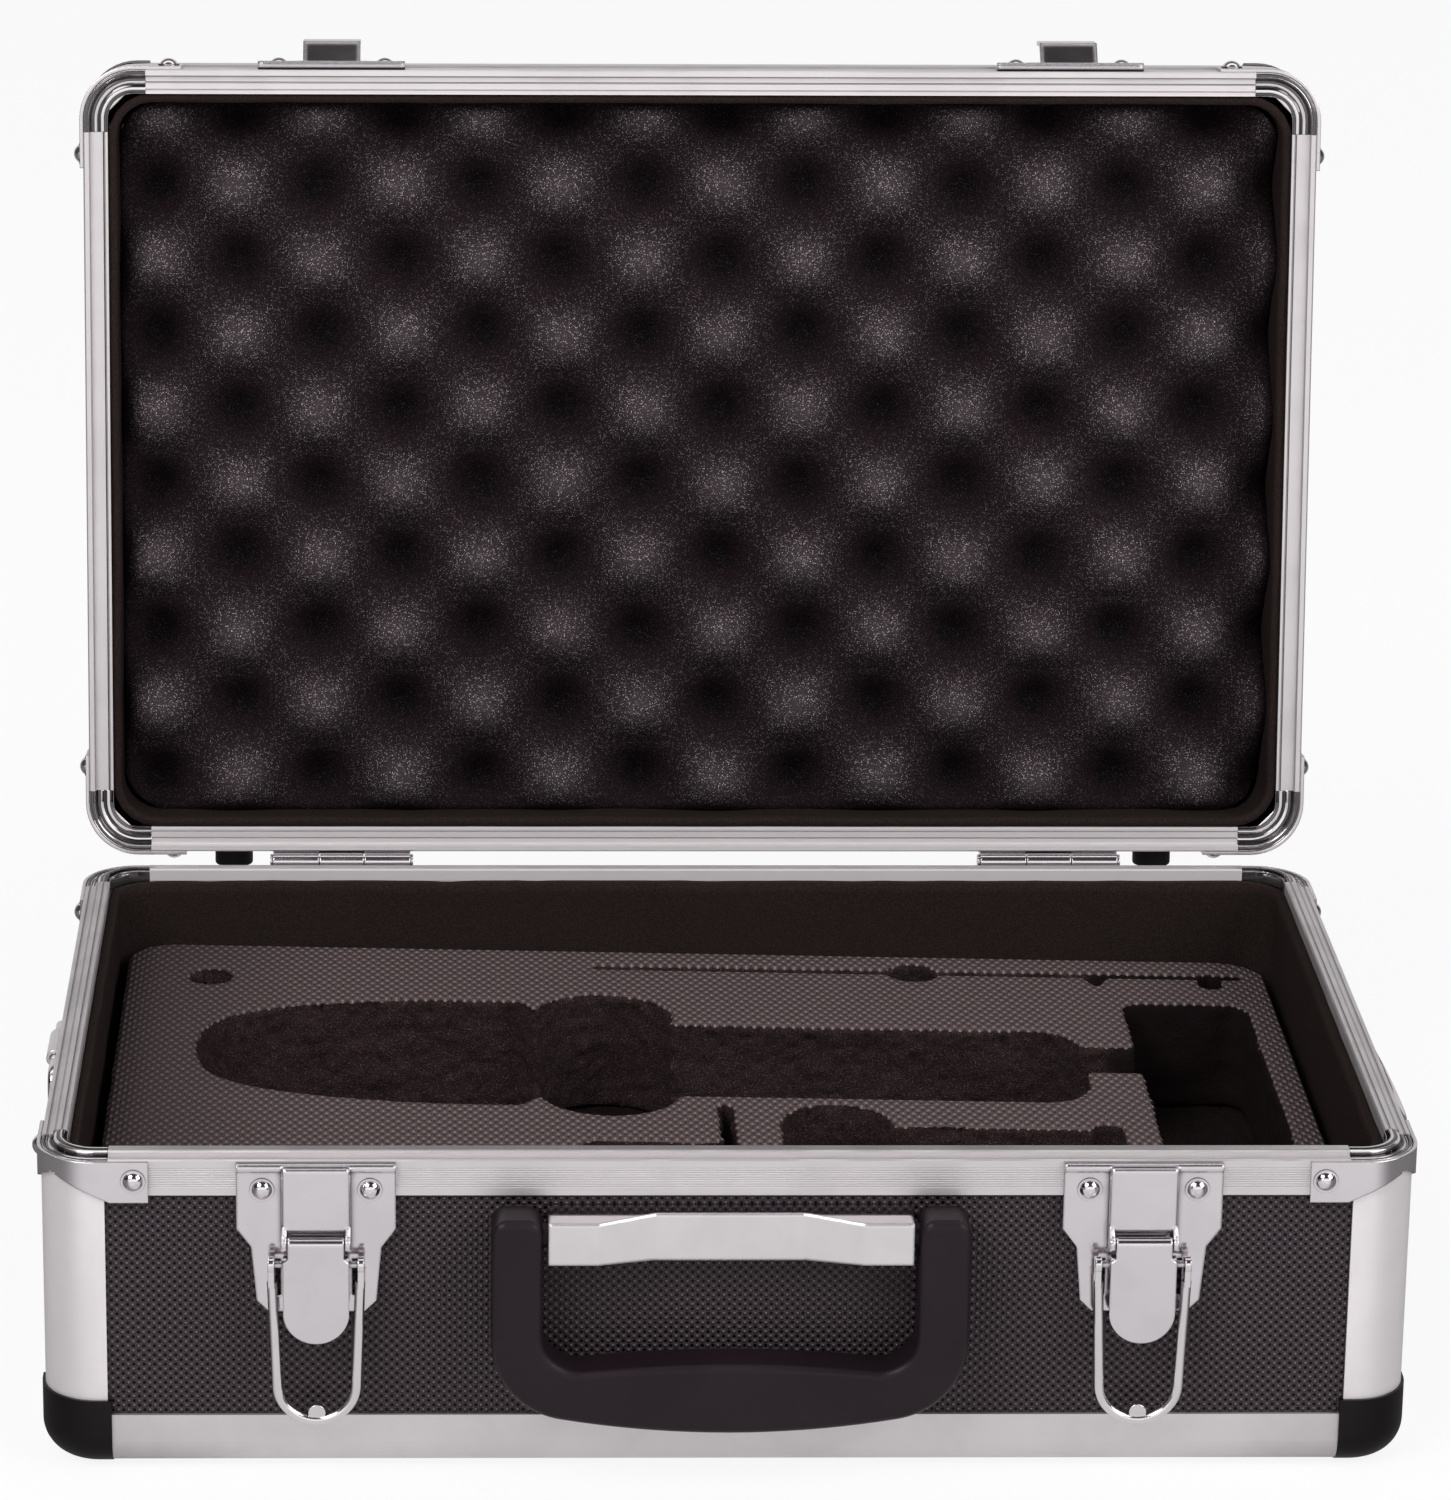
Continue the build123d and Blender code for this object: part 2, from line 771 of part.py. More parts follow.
with BuildPart() as foam_insert:
    with BuildSketch(Plane.XY.offset(insert_bottom)):
        RectangleRounded(insert_length, insert_depth, insert_radius)
    extrude(amount=insert_thickness)
    with BuildSketch(Plane.XY.offset(insert_bottom)) as cutouts:
        machine_cutout()
        body_length = body_end_x - head_right + body_end_round
        with Locations(((body_end_x + head_right - body_end_round) / 2, body_line)):
            RectangleRounded(body_length, 2 * body_half, body_end_round)
        with Locations(((body_end_x + tray_left) / 2, channel_line)):
            Rectangle(tray_left - body_end_x + 2 * tray_round, 2 * channel_half)
        with Locations(((tray_left + tray_right) / 2, (tray_front + tray_back) / 2)):
            RectangleRounded(tray_right - tray_left, tray_back - tray_front, tray_round)
        with Locations((-insert_right + bit_hole_from_left, insert_back - bit_hole_from_back)):
            Circle(bit_hole_radius)
        with Locations(((slit_left + slit_right) / 2, slit_y)):
            SlotOverall(slit_right - slit_left, slit_width)
        with Locations((insert_right - slit_hole_from_right, slit_y)):
            Circle(slit_hole_radius)
        with Locations((insert_right - slit_notch_from_right, slit_y - slit_width)):
            SlotOverall(2 * slit_width + 2 * slit_notch_radius, 2 * slit_notch_radius, rotation=90)
        with Locations((insert_right - slit_nick_from_right, slit_y - slit_nick_depth / 2)):
            Triangle(a=slit_nick_width, b=slit_nick_side, c=slit_nick_side, rotation=180)
        front_pocket_y = (front_edge_y + front_pocket_back) / 2
        with Locations(((front_pocket_left + front_pocket_right) / 2, front_pocket_y)):
            Rectangle(front_pocket_right - front_pocket_left, front_pocket_back - front_edge_y)
        with Locations((disc_x, front_pocket_back)):
            Circle(disc_radius)
        with Locations((front_pocket_right - stop_width / 2, (front_pocket_back + stop_back) / 2)):
            Rectangle(stop_width, stop_back - front_pocket_back)
        with Locations(((card_left + card_right) / 2, (front_edge_y + card_back) / 2)):
            Rectangle(card_right - card_left, card_back - front_edge_y)
        with Locations((card_right - finger_width / 2, (card_back + finger_back) / 2)):
            Rectangle(finger_width, finger_back - card_back)
    extrude(amount=insert_thickness, mode=Mode.SUBTRACT)
save(foam_insert, "foam_insert")


def egg_cells(first_x, first_y):
    """Every other cell of the moulded foam, as rectangles in staggered rows."""
    for column in range(int(egg_length / egg_pitch_across) + 1):
        for row in range(int(egg_depth / egg_pitch_up) + 1):
            x = egg_first_x + (first_x + 2 * column) * egg_pitch_across / 2
            y = egg_first_y + (first_y + 2 * row) * egg_pitch_up / 2
            if abs(x) < egg_length / 2 and abs(y) < egg_depth / 2:
                with Locations((x, y)):
                    Rectangle((egg_pitch_across - egg_cell_gap) / 2, (egg_pitch_up - egg_cell_gap) / 2)


with BuildPart() as egg_foam:
    with BuildSketch(Plane.XY.offset(egg_middle)):
        RectangleRounded(egg_length, egg_depth, insert_radius)
    extrude(amount=roof_rest - egg_middle)
    with BuildSketch(Plane.XY.offset(egg_middle)):
        egg_cells(0, 1)
        egg_cells(1, 0)
    extrude(amount=-egg_relief, taper=egg_taper)
    with BuildSketch(Plane.XY.offset(egg_middle)):
        egg_cells(0, 0)
        egg_cells(1, 1)
    extrude(amount=egg_relief, taper=egg_taper, mode=Mode.SUBTRACT)
    with BuildSketch(Plane.XY.offset(egg_middle)):
        RectangleRounded(egg_length, egg_depth, insert_radius)
    extrude(amount=roof_rest - egg_middle + egg_relief, both=True, mode=Mode.INTERSECT)
save(egg_foam, "egg_crate_foam", OPEN)


# Hinges: the base's leaf holds the middle knuckle and the lid's leaf the two outer ones
def hinge_section(leaf_start, leaf_end):
    """A knuckle and its leaf, seen along the hinge, with the leaf's two heights from the pin."""
    Circle(knuckle_radius)
    with Locations((hinge_sheet / 2 - hinge_offset, (leaf_start + leaf_end) / 2)):
        Rectangle(hinge_sheet, abs(leaf_end - leaf_start))
    Circle(hinge_pin_radius + pin_clearance, mode=Mode.SUBTRACT)


knuckle_length = hinge_width / 3
leaf_clear = knuckle_radius + seam_gap
across_hinge = Plane(origin=(0, hinge_y, parting), x_dir=(0, 1, 0), z_dir=(1, 0, 0))
with BuildPart() as base_leaf:
    with BuildSketch(across_hinge):
        hinge_section(-seam_gap, -hinge_leaf)
    extrude(amount=knuckle_length / 2 - knuckle_gap, both=True)
    with Locations((0, hinge_y - hinge_offset + hinge_sheet / 2, parting - (leaf_clear + hinge_leaf) / 2)):
        Box(hinge_width, hinge_sheet, hinge_leaf - leaf_clear)

with BuildPart() as lid_leaf:
    with BuildSketch(across_hinge):
        hinge_section(seam_gap, hinge_leaf)
    extrude(amount=hinge_width / 2, both=True)
    with Locations((0, hinge_y, parting)):
        Box(knuckle_length, 2 * leaf_clear, 2 * leaf_clear, mode=Mode.SUBTRACT)

with BuildPart() as hinge_pin:
    with Locations(Location((0, hinge_y, parting), (0, 90, 0))):
        Cylinder(hinge_pin_radius, hinge_width)
        with Locations((0, 0, hinge_width / 2 + pin_head / 2), (0, 0, -hinge_width / 2 - pin_head / 2)):
            Cylinder(pin_head_radius, pin_head)

with BuildPart() as leaf_rivets:
    with Locations(rear_plane(hinge_sheet)):
        with GridLocations(hinge_rivet_spacing, 0, 2, 1):
            with Locations((0, parting - hinge_leaf * 0.62)):
                add(small_head.part)


def pair(piece, spacing):
    """Two copies of a piece, side by side."""
    with BuildPart() as both:
        with GridLocations(spacing, 0, 2, 1):
            add(piece.part)
    return both


save(pair(base_leaf, hinge_spacing), "hinge_base_leaves")
save(pair(lid_leaf, hinge_spacing), "hinge_lid_leaves", OPEN)
save(pair(hinge_pin, hinge_spacing), "hinge_pins")
save(pair(leaf_rivets, hinge_spacing), "hinge_base_rivets")
save(pair(leaf_rivets, hinge_spacing), "hinge_lid_rivets", OPEN * HINGE_TURN)


# Draw latches, drawn in the middle and moved to both sides
LEFT_LATCH = Location((-latch_spacing / 2, 0, 0))
RIGHT_LATCH = Location((latch_spacing / 2, 0, 0))
ear_inside = lever_neck_half + seam_gap
ear_outside = bridge_half


def bored_ear(centre, radius, foot, bore):
    """A plate across the latch: a round boss with a foot, bored for a pin."""
    with Locations(centre):
        Circle(radius)
    with BuildLine() as outline:
        Polyline(*foot, close=True)
    make_face(outline.edges())
    with Locations(centre):
        Circle(bore, mode=Mode.SUBTRACT)


with BuildPart() as latch_plate:
    with BuildSketch(front_plane()):
        with BuildLine():
            Polyline(
                (0, plate_top - roll_radius),
                (plate_half, plate_top - roll_radius),
                (plate_half, plate_shoulder),
                (plate_waist_half, plate_waist),
                (plate_foot_half, plate_bottom + plate_foot_cut),
                (plate_foot_half - plate_foot_cut, plate_bottom),
                (0, plate_bottom),
                close=True,
            )
        make_face()
    extrude(amount=plate_sheet)
    with BuildSketch(front_plane()):
        with Locations((slot_offset, slot_middle)):
            Rectangle(slot_width, slot_length)
    extrude(amount=plate_sheet, mode=Mode.SUBTRACT)
    with BuildSketch(section_plane(plate_half)):
        with Locations((roll_radius, plate_top - roll_radius)):
            Circle(roll_radius)
    extrude(amount=plate_half)
    with BuildSketch(front_plane(plate_sheet)):
        with Locations((bridge_half / 2, (bridge_bottom + bridge_top) / 2)):
            Rectangle(bridge_half, bridge_top - bridge_bottom)
    extrude(amount=bridge_rise - plate_sheet)
    fillet(latch_plate.edges().group_by(Axis.Y)[0].filter_by(Axis.Z).sort_by(Axis.X)[-1], radius=bridge_sheet)
    fillet(latch_plate.edges().group_by(Axis.Y)[0].filter_by(Axis.X).sort_by(Axis.Z)[-1], radius=bridge_sheet)
    with BuildSketch(front_plane(plate_sheet)):
        with Locations(((bridge_half - bridge_sheet) / 2, (bridge_bottom + bridge_top - bridge_sheet) / 2)):
            Rectangle(bridge_half - bridge_sheet, bridge_top - bridge_sheet - bridge_bottom)
    extrude(amount=bridge_rise - bridge_sheet - plate_sheet, mode=Mode.SUBTRACT)
    with BuildSketch(section_plane(ear_outside)):
        ear_foot = (
            (plate_sheet / 2, ear_foot_low),
            (lever_pivot_out, lever_pivot_z - ear_radius),
            (lever_pivot_out, lever_pivot_z + ear_radius),
            (plate_sheet / 2, ear_foot_high),
        )
        bored_ear((lever_pivot_out, lever_pivot_z), ear_radius, ear_foot, small_pin_radius)
    extrude(amount=ear_outside - ear_inside)
    mirror(about=Plane.YZ)
save(latch_plate, "left_latch_plate", LEFT_LATCH)
save(latch_plate, "right_latch_plate", RIGHT_LATCH)

with BuildPart() as lever_pin:
    with BuildSketch(section_plane(ear_outside)):
        with Locations((lever_pivot_out, lever_pivot_z)):
            Circle(small_pin_radius)
    extrude(amount=2 * ear_outside)
save(pair(lever_pin, latch_spacing), "latch_lever_pins")

with BuildPart() as plate_rivets:
    with Locations(front_plane(plate_sheet)):
        with Locations((-latch_rivet_spacing / 2, latch_rivet_z), (latch_rivet_spacing / 2, latch_rivet_z)):
            add(large_head.part)
save(pair(plate_rivets, latch_spacing), "latch_rivets")

lever_front = lever_pivot_out + curl_radius
lever_back = lever_front - lever_sheet
lever_end = lever_pivot_z - lever_length
with BuildPart() as lever:
    with BuildSketch(front_plane(lever_back)):
        with BuildLine():
            Line((0, lever_pivot_z), (lever_neck_half, lever_pivot_z))
            Line((lever_neck_half, lever_pivot_z), (lever_neck_half, lever_pivot_z - lever_shoulder))
            Line(
                (lever_neck_half, lever_pivot_z - lever_shoulder),
                (lever_half, lever_pivot_z - lever_shoulder - 1),
            )
            Line((lever_half, lever_pivot_z - lever_shoulder - 1), (lever_half, lever_end + lever_half))
            CenterArc((0, lever_end + lever_half), lever_half, 0, -90)
            Line((0, lever_end), (0, lever_pivot_z))
        make_face()
    extrude(amount=lever_sheet)
    with BuildSketch(section_plane(lever_neck_half)):
        with Locations((lever_pivot_out, lever_pivot_z)):
            Circle(curl_radius)
    extrude(amount=lever_neck_half)
    with BuildSketch(section_plane(lever_half)):
        lever_foot = (
            (lever_back + lever_sheet / 2, bail_pivot_z - lever_ear_length / 2),
            (lever_back + lever_sheet / 2, bail_pivot_z + lever_ear_length / 2),
            (bail_pivot_out, bail_pivot_z + lever_ear_length / 2),
            (bail_pivot_out - ear_radius, bail_pivot_z),
            (bail_pivot_out, bail_pivot_z - lever_ear_length / 2),
        )
        bored_ear((bail_pivot_out, bail_pivot_z), ear_radius, lever_foot, small_pin_radius)
    extrude(amount=lever_sheet)
    with BuildSketch(section_plane(lever_half)):
        with Locations((lever_pivot_out, lever_pivot_z)):
            Circle(small_pin_radius + pin_clearance)
        with Locations((bail_pivot_out, bail_pivot_z)):
            Circle(small_pin_radius)
    extrude(amount=lever_half, mode=Mode.SUBTRACT)
    mirror(about=Plane.YZ)
save(lever, "left_latch_lever", LEFT_LATCH)
save(lever, "right_latch_lever", RIGHT_LATCH)

bail_pin_half = bail_pivot_half + bail_eye_thickness / 2 + pin_clearance
with BuildPart() as bail_pin:
    with BuildSketch(section_plane(bail_pin_half)):
        with Locations((bail_pivot_out, bail_pivot_z)):
            Circle(small_pin_radius)
    extrude(amount=2 * bail_pin_half)
save(bail_pin, "left_bail_pin", LEFT_LATCH)
save(bail_pin, "right_bail_pin", RIGHT_LATCH)

# The bail's wire leaves each eye straight for the arc at the bottom
arc_z = bail_pivot_z - bail_reach + bail_arc
to_eye = hypot(bail_pivot_half, bail_pivot_z - arc_z)
touch = atan2(bail_pivot_z - arc_z, bail_pivot_half) - acos(bail_arc / to_eye)
touch_x = bail_arc * cos(touch)
touch_z = arc_z + bail_arc * sin(touch)
leg_turn = (bail_pivot_half - touch_x) / (bail_pivot_z - touch_z)
leg_top_z = bail_pivot_z - bail_eye_tail
leg_top_x = bail_pivot_half - leg_turn * bail_eye_tail
with BuildPart() as bail:
    with BuildLine(front_plane(bail_pivot_out)) as wire_path:
        Line((leg_top_x, leg_top_z), (touch_x, touch_z))
        ThreePointArc((touch_x, touch_z), (0, arc_z - bail_arc), (-touch_x, touch_z))
        Line((-touch_x, touch_z), (-leg_top_x, leg_top_z))
    with BuildSketch(Plane(origin=wire_path.wire() @ 0, z_dir=wire_path.wire() % 0)):
        Circle(wire_radius)
    sweep(path=wire_path.wire())
    for side in (-1, 1):
        with BuildSketch(section_plane(side * bail_pivot_half)):
            with Locations((bail_pivot_out, bail_pivot_z)):
                Circle(bail_eye_radius)
            with Locations((bail_pivot_out, bail_pivot_z - bail_eye_tail / 2 - wire_radius / 2)):
                Rectangle(2 * wire_radius, bail_eye_tail + wire_radius)
            with Locations((bail_pivot_out, bail_pivot_z)):
                Circle(small_pin_radius + pin_clearance, mode=Mode.SUBTRACT)
        extrude(amount=bail_eye_thickness / 2, both=True)
    with BuildSketch(front_plane(bail_pivot_out)):
        with Locations((0, bail_pivot_z - bail_reach + bail_tab_radius)):
            Circle(bail_tab_radius)
    extrude(amount=bail_tab_thickness / 2, both=True)
save(bail, "left_latch_bail", LEFT_LATCH)
save(bail, "right_latch_bail", RIGHT_LATCH)


# Catches on the lid
with BuildPart() as catch:
    low = lid_seam + catch_low + roll_radius
    with BuildSketch(front_plane()):
        with BuildLine():
            Polyline(
                (0, low),
                (catch_half, low),
                (catch_half, lid_seam + catch_shoulder - catch_round),
                (catch_half - catch_round, lid_seam + catch_shoulder),
                (catch_top_half, lid_seam + catch_shoulder),
                (catch_top_half, lid_seam + catch_high - catch_round),
                (catch_top_half - catch_round, lid_seam + catch_high),
                (0, lid_seam + catch_high),
                close=True,
            )
        make_face()
    extrude(amount=catch_sheet)
    with BuildSketch(section_plane(catch_half)):
        with Locations((roll_radius, low)):
            Circle(roll_radius)
    extrude(amount=catch_half)
    with BuildSketch(section_plane(hook_half)):
        with BuildLine():
            Polyline(
                (catch_sheet / 2, lid_seam + hook_start),
                (hook_reach, lid_seam + hook_bend),
                (hook_reach, lid_seam + hook_tip),
                (hook_reach - catch_sheet, lid_seam + hook_tip),
                (hook_reach - catch_sheet, lid_seam + hook_bend + catch_sheet),
                (catch_sheet / 2, lid_seam + hook_start + 2 * catch_sheet),
                close=True,
            )
        make_face()
    extrude(amount=hook_half)
    mirror(about=Plane.YZ)
save(catch, "left_catch", OPEN * LEFT_LATCH)
save(catch, "right_catch", OPEN * RIGHT_LATCH)

with BuildPart() as catch_rivets:
    with Locations(front_plane(catch_sheet)):
        with GridLocations(catch_rivet_spacing, 0, 2, 1):
            with Locations((0, lid_seam + catch_rivet_height)):
                add(large_head.part)
save(pair(catch_rivets, latch_spacing), "catch_rivets", OPEN)


# Handle
def bracket_outline(inset):
    """Half of the bracket in plan: deep at its end, where the grip turns, and shallow in the middle."""
    with BuildLine() as outline:
        Polyline(
            (0, -panel_face),
            (bracket_half - inset, -panel_face),
            (bracket_half - inset, bracket_end_reach - inset),
            (bracket_half - bracket_end_flat, bracket_end_reach - inset),
            (bracket_middle_half, bracket_middle_reach - inset),
            (0, bracket_middle_reach - inset),
            close=True,
        )
    make_face(outline.edges())


def looking_down(height):
    """A level plane whose own y is the distance out from the front face."""
    return Plane(origin=(0, front, height), x_dir=(1, 0, 0), z_dir=(0, 0, -1))


def bracket_face(inset):
    """Half of the bracket seen from the front: its lower edge hangs deeper in the middle."""
    middle_low = bracket_low - bracket_middle_drop
    with BuildLine() as outline:
        Polyline(
            (0, bracket_high - inset),
            (bracket_half, bracket_high - inset),
            (bracket_half, bracket_low + inset),
            (bracket_half - bracket_end_flat, bracket_low + inset),
            (bracket_middle_half, middle_low + inset),
            (0, middle_low + inset),
            close=True,
        )
    make_face(outline.edges())


with BuildPart() as handle_bracket:
    with BuildSketch(looking_down(bracket_high)):
        bracket_outline(0)
    extrude(amount=bracket_high - bracket_low + bracket_middle_drop)
    with BuildSketch(front_plane()):
        bracket_face(0)
    extrude(amount=bracket_end_reach + panel_face, both=True, mode=Mode.INTERSECT)
    with BuildPart(mode=Mode.SUBTRACT):
        with BuildSketch(looking_down(bracket_high)):
            bracket_outline(bracket_sheet)
        extrude(amount=bracket_high - bracket_low + bracket_middle_drop)
        with BuildSketch(front_plane()):
            bracket_face(bracket_sheet)
        extrude(amount=bracket_end_reach + panel_face, both=True, mode=Mode.INTERSECT)
    with BuildSketch(section_plane(bracket_half)):
        with Locations((grip_pivot_out, grip_pivot_z)):
            Circle(peg_radius + pin_clearance)
    extrude(amount=2 * bracket_sheet, mode=Mode.SUBTRACT)
    mirror(about=Plane.YZ)
save(handle_bracket, "handle_bracket")

corner_low = grip_corner_height - grip_corner_radius * sin(radians(grip_corner_turn))
corner_in = grip_outer_half - grip_corner_radius * (1 - cos(radians(grip_corner_turn)))
belly = corner_low - corner_in * sin(radians(90 - grip_corner_turn) / 2)
inner_half = grip_outer_half - grip_arm
arch_start = inner_half - grip_inner_radius * (1 - cos(radians(grip_inner_turn)))
arch_low = grip_inner_height - grip_inner_radius * sin(radians(grip_inner_turn))
arch_top = arch_low + arch_start * sin(radians(grip_inner_turn - 90) / 2)
with BuildPart() as handle_grip:
    with BuildSketch(front_plane(grip_pivot_out)):
        with BuildLine():
            Line((0, belly), (0, arch_top))
            ThreePointArc(
                (0, arch_top),
                (arch_start / 2, arch_top - (arch_top - arch_low) / 4),
                (arch_start, arch_low),
            )
            CenterArc(
                (inner_half - grip_inner_radius, grip_inner_height),
                grip_inner_radius,
                -grip_inner_turn,
                grip_inner_turn,
            )
            Line((inner_half, grip_inner_height), (inner_half, grip_pivot_z))
            Line((inner_half, grip_pivot_z), (grip_outer_half, grip_pivot_z))
            Line((grip_outer_half, grip_pivot_z), (grip_outer_half, grip_corner_height))
            CenterArc(
                (grip_outer_half - grip_corner_radius, grip_corner_height),
                grip_corner_radius,
                0,
                -grip_corner_turn,
            )
            ThreePointArc(
                (corner_in, corner_low),
                (corner_in / 2, corner_low - (corner_low - belly) * 0.75),
                (0, belly),
            )
        make_face()
        with Locations((grip_outer_half - grip_arm / 2, grip_pivot_z)):
            RectangleRounded(grip_arm, 2 * grip_top_rise, grip_top_radius)
        mirror(about=Plane.YZ)
    extrude(amount=grip_thickness / 2, both=True)
    faces = handle_grip.faces().filter_by(Axis.Y)
    fillet(faces.edges(), radius=grip_edge_round)
    for side in (-1, 1):
        with BuildSketch(section_plane(side * (inner_half - peg_length / 2 + 0.5))):
            with Locations((grip_pivot_out, grip_pivot_z)):
                Circle(peg_radius)
        extrude(amount=peg_length / 2 + 0.5, both=True)
save(handle_grip, "handle_grip")


# Strap rings, drawn on the right side and turned round for the left
TURN_ROUND = Location((0, ring_y, 0)) * Location((0, 0, 0), (0, 0, 180)) * Location((0, -ring_y, 0))
ring_section = Plane(origin=(-left, ring_y, 0), x_dir=(1, 0, 0), z_dir=(0, -1, 0))
with BuildPart() as ring_holder:
    with BuildSketch(ring_section):
        with BuildLine():
            Polyline(
                (-panel_face, holder_low),
                (holder_sheet - panel_face, holder_low),
                (holder_sheet - panel_face, ring_pivot_z - holder_barrel_radius - 1),
                (ring_pivot_out, ring_pivot_z - holder_barrel_radius),
                (ring_pivot_out, ring_pivot_z),
                (-panel_face, ring_pivot_z),
                close=True,
            )
        make_face()
        with Locations((ring_pivot_out, ring_pivot_z)):
            Circle(holder_barrel_radius)
            Circle(ring_wire_radius + pin_clearance, mode=Mode.SUBTRACT)
    extrude(amount=holder_length / 2, both=True)
save(ring_holder, "right_ring_holder")
save(ring_holder, "left_ring_holder", TURN_ROUND)

with BuildPart() as holder_rivets:
    with Locations(right_plane(holder_sheet - panel_face)):
        with Locations((ring_y, holder_rivet_z)), GridLocations(holder_rivet_spacing, 1, 2, 1):
            add(small_head.part)
    mirror(about=Plane.YZ)
save(holder_rivets, "ring_holder_rivets")

corner_centre = ring_half - ring_corner_radius
bow_turn = degrees(asin(corner_centre / (ring_bow_radius - ring_corner_radius)))
corner_z = ring_bow_radius - ring_drop - (ring_bow_radius - ring_corner_radius) * cos(radians(bow_turn))
bow_x = ring_bow_radius * sin(radians(bow_turn))
bow_z = ring_bow_radius - ring_drop - ring_bow_radius * cos(radians(bow_turn))
with BuildPart() as strap_ring:
    ring_origin = (-left + ring_pivot_out, ring_y, ring_pivot_z)
    ring_plane = Plane(origin=ring_origin, x_dir=(0, 1, 0), z_dir=(1, 0, 0))
    with BuildLine(ring_plane) as ring_path:
        Line((0, 0), (ring_half - ring_top_radius, 0))
        CenterArc((ring_half - ring_top_radius, -ring_top_radius), ring_top_radius, 90, -90)
        Line((ring_half, -ring_top_radius), (ring_half, corner_z))
        CenterArc((corner_centre, corner_z), ring_corner_radius, 0, bow_turn - 90)
        ThreePointArc((bow_x, bow_z), (0, -ring_drop), (-bow_x, bow_z))
        CenterArc((-corner_centre, corner_z), ring_corner_radius, -90 - bow_turn, bow_turn - 90)
        Line((-ring_half, corner_z), (-ring_half, -ring_top_radius))
        CenterArc((ring_top_radius - ring_half, -ring_top_radius), ring_top_radius, 180, -90)
        Line((ring_top_radius - ring_half, 0), (0, 0))
    with BuildSketch(Plane(origin=ring_path.wire() @ 0, z_dir=ring_path.wire() % 0)):
        Circle(ring_wire_radius)
    sweep(path=ring_path.wire())
RING_PIVOT = Location((-left + ring_pivot_out, ring_y, ring_pivot_z))
LEAN_OUT = RING_PIVOT * Location((0, 0, 0), (0, -ring_lean, 0)) * RING_PIVOT.inverse()
save(strap_ring, "right_strap_ring", LEAN_OUT)
save(strap_ring, "left_strap_ring", TURN_ROUND)


# Feet on the rear wall, which the case stands on when it is upright
def feet(height):
    """Two round feet on the rear wall."""
    with BuildPart() as two:
        with BuildSketch(rear_plane(-panel_face)):
            with Locations((-foot_spacing / 2, height), (foot_spacing / 2, height)):
                Circle(foot_radius)
        extrude(amount=foot_height + panel_face)
        fillet(two.edges().group_by(Axis.Y)[-1], radius=1)
    return two


save(feet(base_foot_height), "base_feet")
save(feet(lid_seam + lid_foot_height), "lid_feet", OPEN)
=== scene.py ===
"""The looks of a small aluminium-framed tool case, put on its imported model, with its foams and linings."""

import json
import math

import bpy
import numpy as np
from bpy.props import FloatProperty, FloatVectorProperty, IntProperty, PointerProperty
from mathutils import Matrix, Vector, noise


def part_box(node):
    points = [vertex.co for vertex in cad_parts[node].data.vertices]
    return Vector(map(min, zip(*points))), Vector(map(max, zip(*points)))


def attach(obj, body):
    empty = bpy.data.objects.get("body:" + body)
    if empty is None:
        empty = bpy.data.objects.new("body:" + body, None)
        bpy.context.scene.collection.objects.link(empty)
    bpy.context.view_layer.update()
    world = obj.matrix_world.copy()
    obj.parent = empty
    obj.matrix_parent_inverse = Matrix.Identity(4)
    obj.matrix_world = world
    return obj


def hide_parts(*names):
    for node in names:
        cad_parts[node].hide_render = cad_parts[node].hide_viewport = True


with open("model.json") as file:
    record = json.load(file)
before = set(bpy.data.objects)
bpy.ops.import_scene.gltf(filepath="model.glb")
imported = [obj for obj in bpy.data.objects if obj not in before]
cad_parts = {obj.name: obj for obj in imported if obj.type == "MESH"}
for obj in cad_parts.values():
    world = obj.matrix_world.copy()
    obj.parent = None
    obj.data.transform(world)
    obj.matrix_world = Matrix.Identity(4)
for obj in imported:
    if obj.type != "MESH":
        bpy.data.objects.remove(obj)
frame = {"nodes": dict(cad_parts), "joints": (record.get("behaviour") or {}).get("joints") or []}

bl_info = {
    "name": "Aluminium tool case",
    "version": (1, 0, 0),
    "blender": (4, 5, 0),
    "location": "3D View > Sidebar > Tool case",
    "description": "Finishes, foams and linings of an aluminium-framed tool case",
    "category": "Object",
}

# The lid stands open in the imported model. Its hinge says how it got there.
JOINTS = {joint["name"]: joint for joint in frame["joints"]}
HINGE = Vector(JOINTS["lid_hinge"]["pos_m"])
OPENING = math.radians(JOINTS["lid_hinge"]["range_deg"][1])
LID_OPEN = Matrix.Translation(HINGE) @ Matrix.Rotation(-OPENING, 4, "X") @ Matrix.Translation(-HINGE)
ACROSS = Vector((1, 0, 0))
BACK = Vector((0, 1, 0))
UP = Vector((0, 0, 1))
LID_BACK = Vector((0, math.cos(OPENING), -math.sin(OPENING)))
LID_UP = Vector((0, math.sin(OPENING), math.cos(OPENING)))
INSERT_LOW, INSERT_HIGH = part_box("foam_insert")
MIDDLE = (INSERT_LOW + INSERT_HIGH) / 2
LID_MIDDLE = LID_OPEN @ MIDDLE
DARK_LEFT, LIGHT_LEFT = MIDDLE.x - 0.155, MIDDLE.x - 0.095  # the insert's top has painted shadow at its left end
TRAY_LEFT = MIDDLE.x + 0.108  # the tray at its right end starts here

# The rims' outline, seen from above, and the height of the seam over the floor
RIM_HALF_ACROSS, RIM_HALF_BACK, RIM_RADIUS = 0.1725, 0.111, 0.014
BASE_SEAM = 0.0846
FOAM_BACK = 0.02985  # how far the lid's foam and lining reach above the seam

# Fine lines run along the rims' lips, between two distances from the case's middle.
SIDE_RIBS = {"from": 0.1655, "to": 0.1742, "spacing": 0.0019, "width": 0.44}
SIDE_EDGES = {"from": 0.1655, "to": 0.1742, "spacing": 0.00641, "width": 0.09}
LONG_GROOVE = {"from": 0.1045, "to": 0.1132, "spacing": 0.01074, "width": 0.05}
